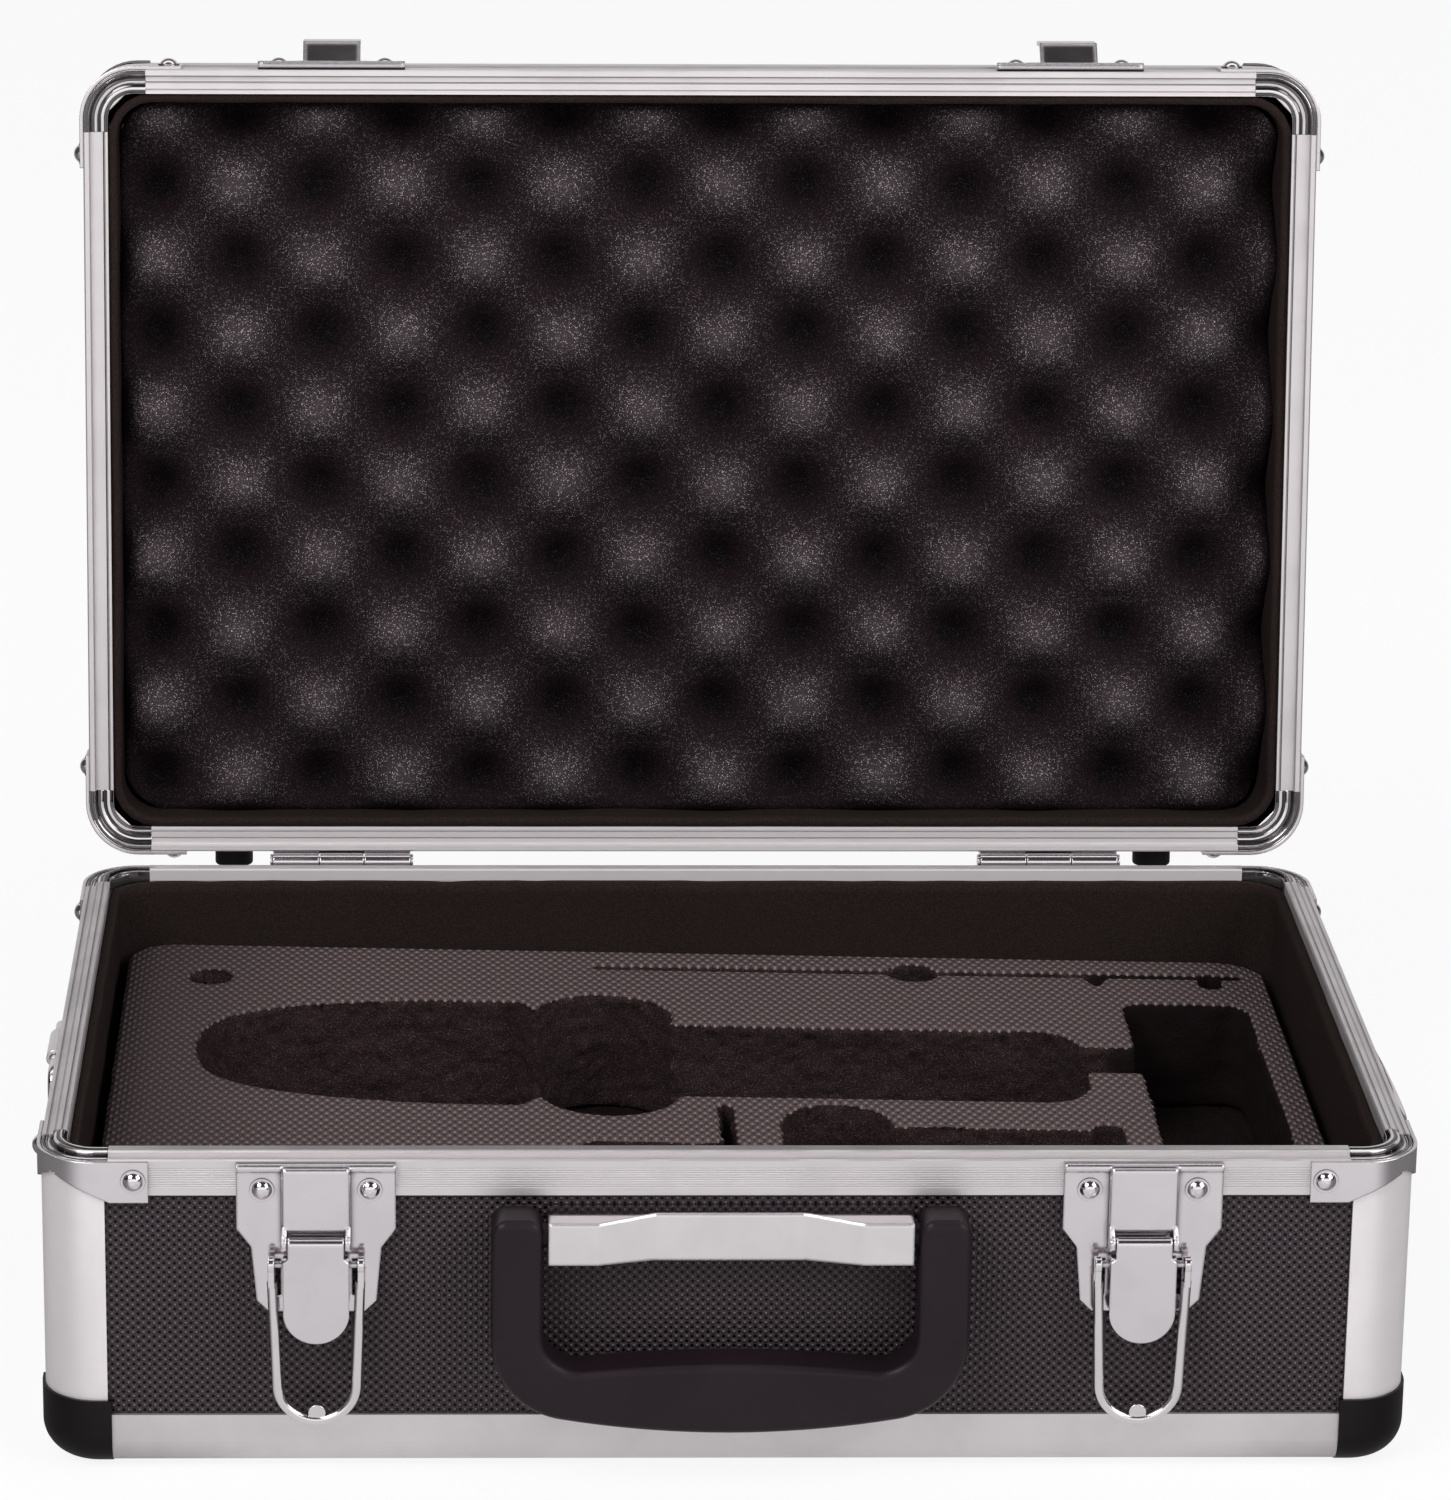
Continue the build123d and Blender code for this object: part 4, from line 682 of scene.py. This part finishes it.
def write_mask(mesh, name, values):
    """Keeps a value for each point, which a material can read."""
    mask = mesh.attributes.new(name, "FLOAT", "POINT")
    mask.data.foreach_set("value", np.asarray(values, dtype=np.float32))


def roughness_at(points, scale, seed, octaves=3):
    """Noise between about -1 and 1 at each point."""
    shift = Vector((seed * 13.7, seed * 5.1, seed * 9.3))
    return np.array([noise.fractal(Vector(p) * scale + shift, 1.0, 2.0, octaves) for p in points])


def smooth_step(values, low, high):
    """A smooth step of an array from low to high."""
    share = np.clip((values - low) / (high - low), 0.0, 1.0)
    return share * share * (3.0 - 2.0 * share)


def rounded_loop(half_across, half_back, radius, spacing):
    """Points round a rounded rectangle about the case's middle, with the direction out at each."""
    points, outs = [], []
    turn_steps = max(4, int(radius * math.pi / 2 / spacing))
    corners = ((1, -1, -90), (1, 1, 0), (-1, 1, 90), (-1, -1, 180))
    for index, (side_x, side_y, start) in enumerate(corners):
        centre = np.array((side_x * (half_across - radius), side_y * (half_back - radius)))
        for step in range(turn_steps + 1):
            angle = math.radians(start + 90 * step / turn_steps)
            out = np.array((math.cos(angle), math.sin(angle)))
            points.append(centre + radius * out)
            outs.append(out)
        following = corners[(index + 1) % 4]
        end = np.array((following[0] * (half_across - radius), following[1] * (half_back - radius)))
        out = outs[-1]
        first, last = points[-1], end + radius * out
        runs = int(np.linalg.norm(last - first) / spacing)
        for step in range(1, runs):
            points.append(first + (last - first) * step / runs)
            outs.append(out)
    return np.array(points), np.array(outs)


class TOOLCASE_OT_studio(bpy.types.Operator):
    """Sets up the camera, the white floor and the soft light"""

    bl_idname = "toolcase.studio"
    bl_label = "Studio"

    def execute(self, context):
        settings = context.scene.studio
        self.place_camera(context, settings)
        self.lay_floor(context, settings)
        self.light(context, settings)
        context.scene.view_settings.view_transform = "Standard"
        return {"FINISHED"}

    def place_camera(self, context, settings):
        """Puts the camera where it sees the case as the photograph does."""
        yaw, pitch, roll = settings.camera_yaw, settings.camera_pitch, settings.camera_roll
        ahead = Vector((math.sin(yaw) * math.cos(pitch), math.cos(yaw) * math.cos(pitch), -math.sin(pitch)))
        level = Vector((math.cos(yaw), -math.sin(yaw), 0))
        down = ahead.cross(level)
        right = level * math.cos(roll) + down * math.sin(roll)
        below = down * math.cos(roll) - level * math.sin(roll)
        lens = bpy.data.cameras.new("studio_camera")
        lens.sensor_width = 36.0
        lens.lens = lens.sensor_width * settings.focal_pixels / settings.picture_height
        lens.shift_x, lens.shift_y = settings.picture_shift
        camera = bpy.data.objects.new("studio_camera", lens)
        context.scene.collection.objects.link(camera)
        turn = Matrix((right, -below, -ahead)).transposed().to_4x4()
        camera.matrix_world = Matrix.Translation(settings.camera_place) @ turn
        context.scene.camera = camera

    def lay_floor(self, context, settings):
        """Lays a wide white floor that still takes the case's shadow."""
        rings, spokes, height = (0.3, 0.8, 2.0, 6.0), 48, -0.0002
        middle = Vector((MIDDLE.x, MIDDLE.y, height))
        points = [middle]
        for ring in rings:
            for spoke in range(spokes):
                angle = FULL_TURN * spoke / spokes
                points.append(middle + ring * Vector((math.cos(angle), math.sin(angle), 0)))
        faces = [(0, 1 + s, 1 + (s + 1) % spokes) for s in range(spokes)]
        for ring in range(len(rings) - 1):
            first, second = 1 + ring * spokes, 1 + (ring + 1) * spokes
            for s in range(spokes):
                t = (s + 1) % spokes
                faces.append((first + s, second + s, second + t, first + t))
        material, tree, shader = new_material("white_floor", roughness=0.9)
        shader.inputs["Base Color"].default_value = (0.9, 0.9, 0.9, 1.0)
        case_middle = (MIDDLE.x, MIDDLE.y, 0.08)
        towards = vector_calc(tree, "SUBTRACT", surface_place(tree), case_middle)["Vector"]
        far = vector_calc(tree, "LENGTH", towards)["Value"]
        room = self.room_in_metal(tree, towards, settings)
        room = calc(tree, "MULTIPLY", room, ease(tree, far, 0.2, 0.45, 0.84, 1.0))
        seen, strength = self.as_seen(tree, room)
        glow = add_node(tree, "ShaderNodeEmission", {"Color": (1, 1, 1, 1), "Strength": strength})
        share = calc(tree, "MULTIPLY", seen, settings.floor_glow)
        mixed = add_node(tree, "ShaderNodeMixShader", {0: share, 1: shader.outputs[0], 2: glow.outputs[0]})
        tree.links.new(mixed.outputs[0], tree.nodes["Material Output"].inputs["Surface"])
        floor = new_piece("studio_floor", points, faces, material)

    def light(self, context, settings):
        """Lights the case evenly, with a lamp from the left and a weaker one from the right."""
        world = bpy.data.worlds.new("studio_world")
        context.scene.world = world
        world.use_nodes = True
        tree = world.node_tree
        towards = add_node(tree, "ShaderNodeTexCoord").outputs["Generated"]
        seen, strength = self.as_seen(tree, self.room_in_metal(tree, towards, settings))
        even = calc(tree, "MULTIPLY", calc(tree, "SUBTRACT", 1.0, seen), settings.sky)
        tree.links.new(calc(tree, "ADD", even, strength), tree.nodes["Background"].inputs["Strength"])
        tree.nodes["Background"].inputs["Color"].default_value = (1, 1, 1, 1)
        for name, place, width in LAMPS:
            self.lamp(context, name + "_lamp", place, width, getattr(settings, name))

    def as_seen(self, tree, room):
        """Whether the camera, metal or glass sees the studio, and how light: white for the camera."""
        path = add_node(tree, "ShaderNodeLightPath").outputs
        mirrored = calc(tree, "MAXIMUM", path["Is Glossy Ray"], path["Is Transmission Ray"])
        mirrored = calc(tree, "MULTIPLY", mirrored, calc(tree, "SUBTRACT", 1.0, path["Is Camera Ray"]))
        seen = calc(tree, "ADD", mirrored, path["Is Camera Ray"])
        return seen, calc(tree, "MULTIPLY_ADD", mirrored, room, path["Is Camera Ray"])

    def room_in_metal(self, tree, towards, settings):
        """How light the studio looks in metal: bands from the front floor up, over and down behind.

        Each band fades in between two angles over the horizon in front, in degrees.
        """
        towards = vector_calc(tree, "NORMALIZE", towards)["Vector"]
        place = add_node(tree, "ShaderNodeSeparateXYZ", {"Vector": towards}).outputs
        ahead = calc(tree, "MULTIPLY", place["Y"], -1.0)
        turned = calc(tree, "MULTIPLY", calc(tree, "ARCTAN2", place["Z"], ahead), 180.0 / math.pi)
        behind = calc(tree, "MULTIPLY", calc(tree, "LESS_THAN", turned, -90.0), 360.0)
        turned = calc(tree, "ADD", turned, behind)
        bands = (
            (0, 10, settings.low_light),
            (24, 34, settings.gap_tone),
            (80, 90, settings.high_light),
            (104, 112, settings.far_gap_tone),
            (138, 148, settings.back_tone),
        )
        tone = calc(tree, "ADD", settings.front_tone, 0.0)
        for low, high, following in bands:
            change = calc(tree, "SUBTRACT", following, tone)
            tone = calc(tree, "MULTIPLY_ADD", ease(tree, turned, low, high), change, tone)
        beside = ease(tree, calc(tree, "ABSOLUTE", place["X"]), 0.62, 0.85, 1.0, settings.side_tone)
        return calc(tree, "MULTIPLY", tone, beside)

    def lamp(self, context, name, place, size, power):
        """Puts a square soft lamp at a place, turned to the case."""
        light = bpy.data.lights.new(name, "AREA")
        light.size = size
        light.energy = power
        lamp = bpy.data.objects.new(name, light)
        context.scene.collection.objects.link(lamp)
        lamp.location = place
        lamp.rotation_euler = (LAMP_AIM - Vector(place)).to_track_quat("-Z", "Y").to_euler()


class TOOLCASE_OT_aluminium_frame(bpy.types.Operator):
    """Finishes the aluminium extrusions of the base and the lid"""

    bl_idname = "toolcase.aluminium_frame"
    bl_label = "Aluminium frame"

    def execute(self, context):
        finish_nodes(satin_aluminium("base_side_rim", lip=(ACROSS, MIDDLE, SIDE_RIBS)), "base_side_rims")
        finish_nodes(satin_aluminium("base_long_rim", lip=(BACK, MIDDLE, LONG_GROOVE)), "base_long_rims")
        lid_seam = HINGE.dot(LID_UP)
        lid_side = satin_aluminium("lid_side_rim", LID_UP, lid_seam, (ACROSS, LID_MIDDLE, SIDE_EDGES))
        finish_nodes(lid_side, "lid_side_rims")
        long_lip = (LID_BACK, LID_MIDDLE, LONG_GROOVE)
        # The lid's long rims are painted lighter, as the lamps light them more
        lid_long = satin_aluminium("lid_long_rim", LID_UP, lid_seam, long_lip, painted_lightness=1.1)
        finish_nodes(lid_long, "lid_long_rims")
        edges = satin_aluminium("edge_aluminium", roughness=0.34)
        finish_nodes(edges, "base_bottom_edges", "lid_top_edges")
        # The posts are painted lighter, as the lamps light their rounded faces more
        posts = satin_aluminium("post_aluminium", roughness=0.38, painted_lightness=1.18, metallic=0.5)
        finish_nodes(posts, "base_corner_posts", "lid_corner_posts")
        return {"FINISHED"}


class TOOLCASE_OT_corners(bpy.types.Operator):
    """Finishes the cast rim corners, the steel brackets and the ball corners"""

    bl_idname = "toolcase.corners"
    bl_label = "Corners"

    def execute(self, context):
        shades = context.scene.case_colours
        castings = {"base_rim_corners": (BACK, MIDDLE), "lid_rim_corners": (LID_BACK, LID_MIDDLE)}
        for node, ribs in castings.items():
            cast = {"roughness": 0.06, "marked": 0.04, "edge": 0.0004, "metallic": 0.96, "ribs": ribs}
            finish_nodes(plated_metal(node + "_chrome", shades.casting, **cast), node)
        bracket = plated_metal("corner_bracket_steel", shades.steel, roughness=0.22, marked=0.08)
        finish_nodes(bracket, "base_corner_brackets", "lid_corner_brackets")
        rivet = plated_metal("rivet_head", shades.steel, roughness=0.10, edge=0.0)
        finish_nodes(rivet, "base_corner_rivets", "lid_corner_rivets")
        ball = moulded_plastic("ball_corner_plastic", shades.corner, roughness=0.3)
        finish_nodes(ball, "base_ball_corners", "lid_ball_corners")
        return {"FINISHED"}


class TOOLCASE_OT_latches(bpy.types.Operator):
    """Finishes the draw latches and their catches"""

    bl_idname = "toolcase.latches"
    bl_label = "Latches"

    def execute(self, context):
        shades = context.scene.case_colours
        plate = plated_metal("latch_plate_nickel", shades.steel, roughness=0.11, edge=0.0011)
        finish_nodes(plate, "left_latch_plate", "right_latch_plate")
        catch = plated_metal("catch_nickel", shades.steel, roughness=0.09, edge=0.0022)
        finish_nodes(catch, "left_catch", "right_catch")
        lever = plated_metal("latch_lever_nickel", shades.steel, roughness=0.09, edge=0.0008)
        finish_nodes(lever, "left_latch_lever", "right_latch_lever", "latch_lever_pins")
        finish_nodes(lever, "left_bail_pin", "right_bail_pin")
        rivet = plated_metal("latch_rivet_head", shades.steel, roughness=0.10, edge=0.0)
        finish_nodes(rivet, "latch_rivets", "catch_rivets")
        wire = plated_metal("bail_wire", shades.wire, roughness=0.11)
        finish_nodes(wire, "left_latch_bail", "right_latch_bail")
        return {"FINISHED"}


class TOOLCASE_OT_hinges_and_rings(bpy.types.Operator):
    """Finishes the hinges, the strap rings and their holders"""

    bl_idname = "toolcase.hinges_and_rings"
    bl_label = "Hinges and rings"

    def execute(self, context):
        shades = context.scene.case_colours
        leaf = plated_metal("hinge_nickel", shades.steel, roughness=0.13)
        finish_nodes(leaf, "hinge_base_leaves", "hinge_lid_leaves", "hinge_pins")
        finish_nodes(leaf, "hinge_base_rivets", "hinge_lid_rivets", "ring_holder_rivets")
        finish_nodes(leaf, "left_ring_holder", "right_ring_holder")
        ring = plated_metal("strap_ring_wire", shades.wire, roughness=0.09)
        finish_nodes(ring, "left_strap_ring", "right_strap_ring")
        return {"FINISHED"}


class TOOLCASE_OT_boards(bpy.types.Operator):
    """Finishes the studded black boards"""

    bl_idname = "toolcase.boards"
    bl_label = "Boards"

    def execute(self, context):
        boards = {
            "long_board": (ACROSS, UP, "base_front_panel", "base_rear_panel"),
            "side_board": (BACK, UP, "base_left_panel", "base_right_panel"),
            "bottom_board": (ACROSS, BACK, "base_bottom_panel"),
            "lid_long_board": (ACROSS, LID_UP, "lid_front_panel", "lid_rear_panel"),
            "lid_side_board": (LID_BACK, LID_UP, "lid_left_panel", "lid_right_panel"),
            "lid_top_board": (ACROSS, LID_BACK, "lid_top_panel"),
        }
        for name, (across, up, *panels) in boards.items():
            finish_nodes(studded_board(name, across, up), *panels)
        return {"FINISHED"}


class TOOLCASE_OT_handle(bpy.types.Operator):
    """Finishes the handle's grip, its chromed bar and the feet"""

    bl_idname = "toolcase.handle"
    bl_label = "Handle and feet"

    def execute(self, context):
        shades = context.scene.case_colours
        bar = plated_metal("handle_bar_chrome", shades.chrome, roughness=0.06, marked=0.04, edge=0.0014)
        finish_nodes(bar, "handle_bracket")
        finish_nodes(moulded_plastic("grip_plastic", shades.grip, roughness=0.36), "handle_grip")
        finish_nodes(moulded_plastic("foot_rubber", shades.rubber, roughness=0.6), "base_feet", "lid_feet")
        return {"FINISHED"}


class TOOLCASE_OT_foam_insert(bpy.types.Operator):
    """Makes the foam insert with its cut-outs, its pressed top and its torn walls"""

    bl_idname = "toolcase.foam_insert"
    bl_label = "Foam insert"

    cut_across: length("Cut width", "Walls further from the middle than this aren't torn", 0.159)
    cut_back: length("Cut depth", "Walls further back or in front than this aren't torn", 0.0995)
    teeth: length("Teeth", "How far the pyramids notch the cut edges", 0.0006)

    def execute(self, context):
        sizes = context.scene.case_sizes
        piece = remeshed("foam_insert", "cut_foam_insert", mesh_size(sizes.insert_grid))
        mesh = piece.data
        points, normals = read_points(mesh)
        low, high = INSERT_LOW.z, INSERT_HIGH.z
        share = (points[:, 2] - low) / (high - low)
        walls = 1.0 - smooth_step(np.abs(normals[:, 2]), 0.35, 0.8)
        aside = np.abs(points - MIDDLE)
        inside = (aside[:, 0] < self.cut_across) & (aside[:, 1] < self.cut_back)
        tray = smooth_step(points[:, 0], TRAY_LEFT + 0.002, TRAY_LEFT + 0.006)
        tears = roughness_at(points, 420.0, 1) * sizes.tear * (1.0 - 0.8 * tray)
        swell = roughness_at(points, 75.0, 2, 2) * sizes.tear
        pitch, rows = sizes.cell_across, sizes.cell_rows
        teeth = np.cos(2 * np.pi * points[:, 0] / pitch) * np.cos(np.pi * points[:, 1] / rows)
        teeth *= self.teeth * smooth_step(share, 0.7, 0.98)
        out = np.where(inside, tears + swell + teeth, 0.3 * swell)
        points += normals * (out * walls)[:, None]
        points[:, 2] = low + share * (high - low) + share * sizes.insert_tilt * (MIDDLE.x - points[:, 0])
        write_points(mesh, points)
        dark = np.maximum(walls, 1.0 - smooth_step(share, 0.9, 0.97))
        write_mask(mesh, "cut_wall", dark)
        mesh.shade_smooth()
        mesh.materials.append(insert_foam("pressed_grey_foam"))
        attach(piece, "base")
        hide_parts("foam_insert")
        return {"FINISHED"}


class TOOLCASE_OT_base_pad(bpy.types.Operator):
    """Makes the foam pad under the insert, rough where the cut-outs show it"""

    bl_idname = "toolcase.base_pad"
    bl_label = "Foam under the insert"

    def execute(self, context):
        sizes, shades = context.scene.case_sizes, context.scene.case_colours
        piece = remeshed("base_pad", "foam_pad", mesh_size(sizes.pad_grid))
        mesh = piece.data
        points = read_points(mesh)[0]
        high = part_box("base_pad")[1].z
        top = smooth_step(points[:, 2], high - 0.004, high - 0.0005)
        tears = roughness_at(points, 300.0, 3) * sizes.tear - 0.6 * sizes.tear
        points[:, 2] += top * tears
        write_points(mesh, points)
        mesh.shade_smooth()
        # The pad's colour is the cut foam's, darkened to paint the shade at the bottom of the cut-outs
        material = dark_foam("torn_black_foam", times(shades.cut, 0.45), cell_size=0.0006, depth=0.0006)
        mesh.materials.append(material)
        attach(piece, "base")
        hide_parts("base_pad")
        return {"FINISHED"}


class TOOLCASE_OT_egg_crate(bpy.types.Operator):
    """Makes the egg crate foam that lines the lid"""

    bl_idname = "toolcase.egg_crate"
    bl_label = "Egg crate foam"

    half_across: length("Half width", "Half of the foam's width", 0.1632)
    half_back: length("Half depth", "Half of the foam's depth", 0.1018)
    corner: length("Corner", "Radius of its corners", 0.013)
    middle: length("Middle", "Middle of the relief above the seam", 0.01565)
    back: length("Back", "Back of the foam above the seam", FOAM_BACK)
    first_across: length("First valley", "A valley's place across", -0.1526)
    first_back: length("First row", "A valley's place back", -0.0774)
    stray: length("Stray", "How far the valleys stray from their rows", 0.0012)

    def execute(self, context):
        sizes, shades = context.scene.case_sizes, context.scene.case_colours
        step = mesh_size(sizes.egg_grid)
        columns = int(round(2 * self.half_across / step))
        rows = int(round(2 * self.half_back / step))
        places_across = [-self.half_across + 2 * self.half_across * c / columns for c in range(columns + 1)]
        places_back = [-self.half_back + 2 * self.half_back * r / rows for r in range(rows + 1)]
        grid = np.array([self.rounded(x, y) for y in places_back for x in places_across])
        wander = roughness_at(np.column_stack((grid, np.zeros(len(grid)))), 28.0, 4, 2) * self.stray
        across = (grid[:, 0] + wander - self.first_across) / sizes.egg_across
        up = (grid[:, 1] + wander[::-1] - self.first_back) / sizes.egg_up
        wave = np.cos(2 * np.pi * across) * np.cos(2 * np.pi * up)
        rise = np.where(wave > 0, np.abs(wave) ** 1.7, -np.abs(wave) ** 0.95)
        height = self.middle + sizes.egg_relief * rise
        points = [Vector((MIDDLE.x + g[0], MIDDLE.y + g[1], HINGE.z + h)) for g, h in zip(grid, height)]
        width = columns + 1
        faces = [
            (r * width + c, (r + 1) * width + c, (r + 1) * width + c + 1, r * width + c + 1)
            for r in range(rows)
            for c in range(columns)
        ]
        edge = list(range(width))
        edge += [r * width + columns for r in range(1, rows + 1)]
        edge += [rows * width + c for c in range(columns - 1, -1, -1)]
        edge += [r * width for r in range(rows - 1, 0, -1)]
        first = len(points)
        for index in edge:
            points.append(Vector((points[index].x, points[index].y, HINGE.z + self.back)))
        total = len(edge)
        for k in range(total):
            following = (k + 1) % total
            faces.append((edge[k], edge[following], first + following, first + k))
        faces.append(tuple(first + k for k in range(total)))
        inwards = np.minimum(self.half_across - np.abs(grid[:, 0]), self.half_back - np.abs(grid[:, 1]))
        # The raised mask places painted light on the peaks and painted shade in the valleys
        raised = (1.0 - rise) / 2 * smooth_step(inwards, -0.001, 0.004)
        raised = np.concatenate((raised, np.zeros(total)))
        cells = {"cell_size": 0.00036, "depth": 0.0004, "specks": 0.65, "mask": "raised"}
        material = dark_foam("egg_crate_black_foam", shades.egg, **cells)
        piece = new_piece("egg_crate_lid_foam", [LID_OPEN @ p for p in points], faces, material)
        write_mask(piece.data, "raised", raised)
        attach(piece, "lid")
        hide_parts("egg_crate_foam")
        return {"FINISHED"}

    def rounded(self, x, y):
        """Moves a point of the rectangle's grid so that the grid has rounded corners."""
        u = (abs(x) - self.half_across + self.corner) / self.corner
        v = (abs(y) - self.half_back + self.corner) / self.corner
        if u <= 0 or v <= 0:
            return x, y
        u, v = u * math.sqrt(1 - v * v / 2), v * math.sqrt(1 - u * u / 2)
        across = self.half_across - self.corner + u * self.corner
        back = self.half_back - self.corner + v * self.corner
        return math.copysign(across, x), math.copysign(back, y)


class TOOLCASE_OT_linings(bpy.types.Operator):
    """Makes the thin foam linings of the base and the lid"""

    bl_idname = "toolcase.linings"
    bl_label = "Linings"

    inner_radius: length("Corner", "Radius of the inner corners", 0.010)
    thickness: length("Thickness", "Thickness of the lining", 0.0022)
    lid_gap: length("Lid gap", "How far the lid's lining stops from the seam", 0.00215)
    face_size: length("Face size", "Size of the lining's mesh faces", 0.003)

    def execute(self, context):
        shades = context.scene.case_colours
        material = dark_foam("lining_foam", shades.lining, cell_size=0.0004, depth=0.00015, specks=0.01)
        base_low, base_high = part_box("base_lining")
        half = (base_high - base_low) / 2
        base = self.band("wall_lining", half, base_low.z, base_high.z, material, open_side=1, seed=5)
        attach(base, "base")
        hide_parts("base_lining")
        lid_edge, lid_back = HINGE.z + self.lid_gap, HINGE.z + FOAM_BACK
        opened = {"open_side": -1, "seed": 6, "place": LID_OPEN}
        lid = self.band("lid_wall_lining", half, lid_edge, lid_back, material, **opened)
        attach(lid, "lid")
        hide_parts("lid_lining")
        return {"FINISHED"}

    def band(self, name, half, low, high, material, open_side, seed, place=Matrix.Identity(4)):
        """A band of foam round the walls, whose edge and face wander a little.

        Its open edge is the upper one where open_side is 1, and the lower one where it is -1.
        """
        wave = bpy.context.scene.case_sizes.lining_wave
        inside = half - self.thickness * Vector((1, 1, 0))
        inner, outs = rounded_loop(inside.x, inside.y, self.inner_radius, self.face_size)
        levels = max(4, int((high - low) / self.face_size))
        points = []
        count = len(inner)
        profile = [(0.0, k / levels) for k in range(levels + 1)]
        profile += [(0.35, 1.0), (0.75, 1.0), (1.0, 1.0)]
        profile += [(1.0, 1.0 - k / levels) for k in range(1, levels + 1)]
        for depth, share in profile:
            at_edge = smooth_step(np.array(share if open_side > 0 else 1.0 - share), 0.9, 1.0)
            for spot, out in zip(inner, outs):
                flat = Vector((spot[0], spot[1], low + share * (high - low)))
                wander = noise.fractal(flat * 22.0 + Vector((seed, seed, 0)), 1.0, 2.0, 2) * wave
                ripple = noise.fractal(flat * 60.0 + Vector((0, seed, seed)), 1.0, 2.0, 2) * wave * 0.7
                shift = depth * self.thickness - (1 - depth) * abs(wander)
                height = flat.z - open_side * at_edge * abs(ripple + wander)
                x, y = spot + out * shift
                points.append(Vector((MIDDLE.x + x, MIDDLE.y + y, height)))
        faces = []
        for ring in range(len(profile)):
            near, far = ring * count, (ring + 1) % len(profile) * count
            for k in range(count):
                beside = (k + 1) % count
                faces.append((near + k, far + k, far + beside, near + beside))
        return new_piece(name, [place @ p for p in points], faces, material)


class TOOLCASE_PT_panel(bpy.types.Panel):
    """Lists the steps that dress the tool case"""

    bl_idname = "TOOLCASE_PT_panel"
    bl_label = "Tool case"
    bl_space_type = "VIEW_3D"
    bl_region_type = "UI"
    bl_category = "Tool case"

    def draw(self, context):
        for step in STEPS:
            self.layout.operator(step.bl_idname)


STEPS = (
    TOOLCASE_OT_studio,
    TOOLCASE_OT_aluminium_frame,
    TOOLCASE_OT_corners,
    TOOLCASE_OT_latches,
    TOOLCASE_OT_hinges_and_rings,
    TOOLCASE_OT_boards,
    TOOLCASE_OT_handle,
    TOOLCASE_OT_foam_insert,
    TOOLCASE_OT_base_pad,
    TOOLCASE_OT_egg_crate,
    TOOLCASE_OT_linings,
)
CLASSES = (CaseSizes, CaseColours, StudioSettings, *STEPS, TOOLCASE_PT_panel)


def register():
    """Registers the classes and the settings that a scene keeps."""
    for each in CLASSES:
        bpy.utils.register_class(each)
    bpy.types.Scene.case_sizes = PointerProperty(type=CaseSizes)
    bpy.types.Scene.case_colours = PointerProperty(type=CaseColours)
    bpy.types.Scene.studio = PointerProperty(type=StudioSettings)


def unregister():
    """Takes the settings and the classes away again."""
    del bpy.types.Scene.studio
    del bpy.types.Scene.case_colours
    del bpy.types.Scene.case_sizes
    for each in reversed(CLASSES):
        bpy.utils.unregister_class(each)


def main():
    """Dresses the case step by step."""
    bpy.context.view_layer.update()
    register()
    for step in STEPS:
        space, name = step.bl_idname.split(".")
        getattr(getattr(bpy.ops, space), name)()


if __name__ == "__main__":
    main()
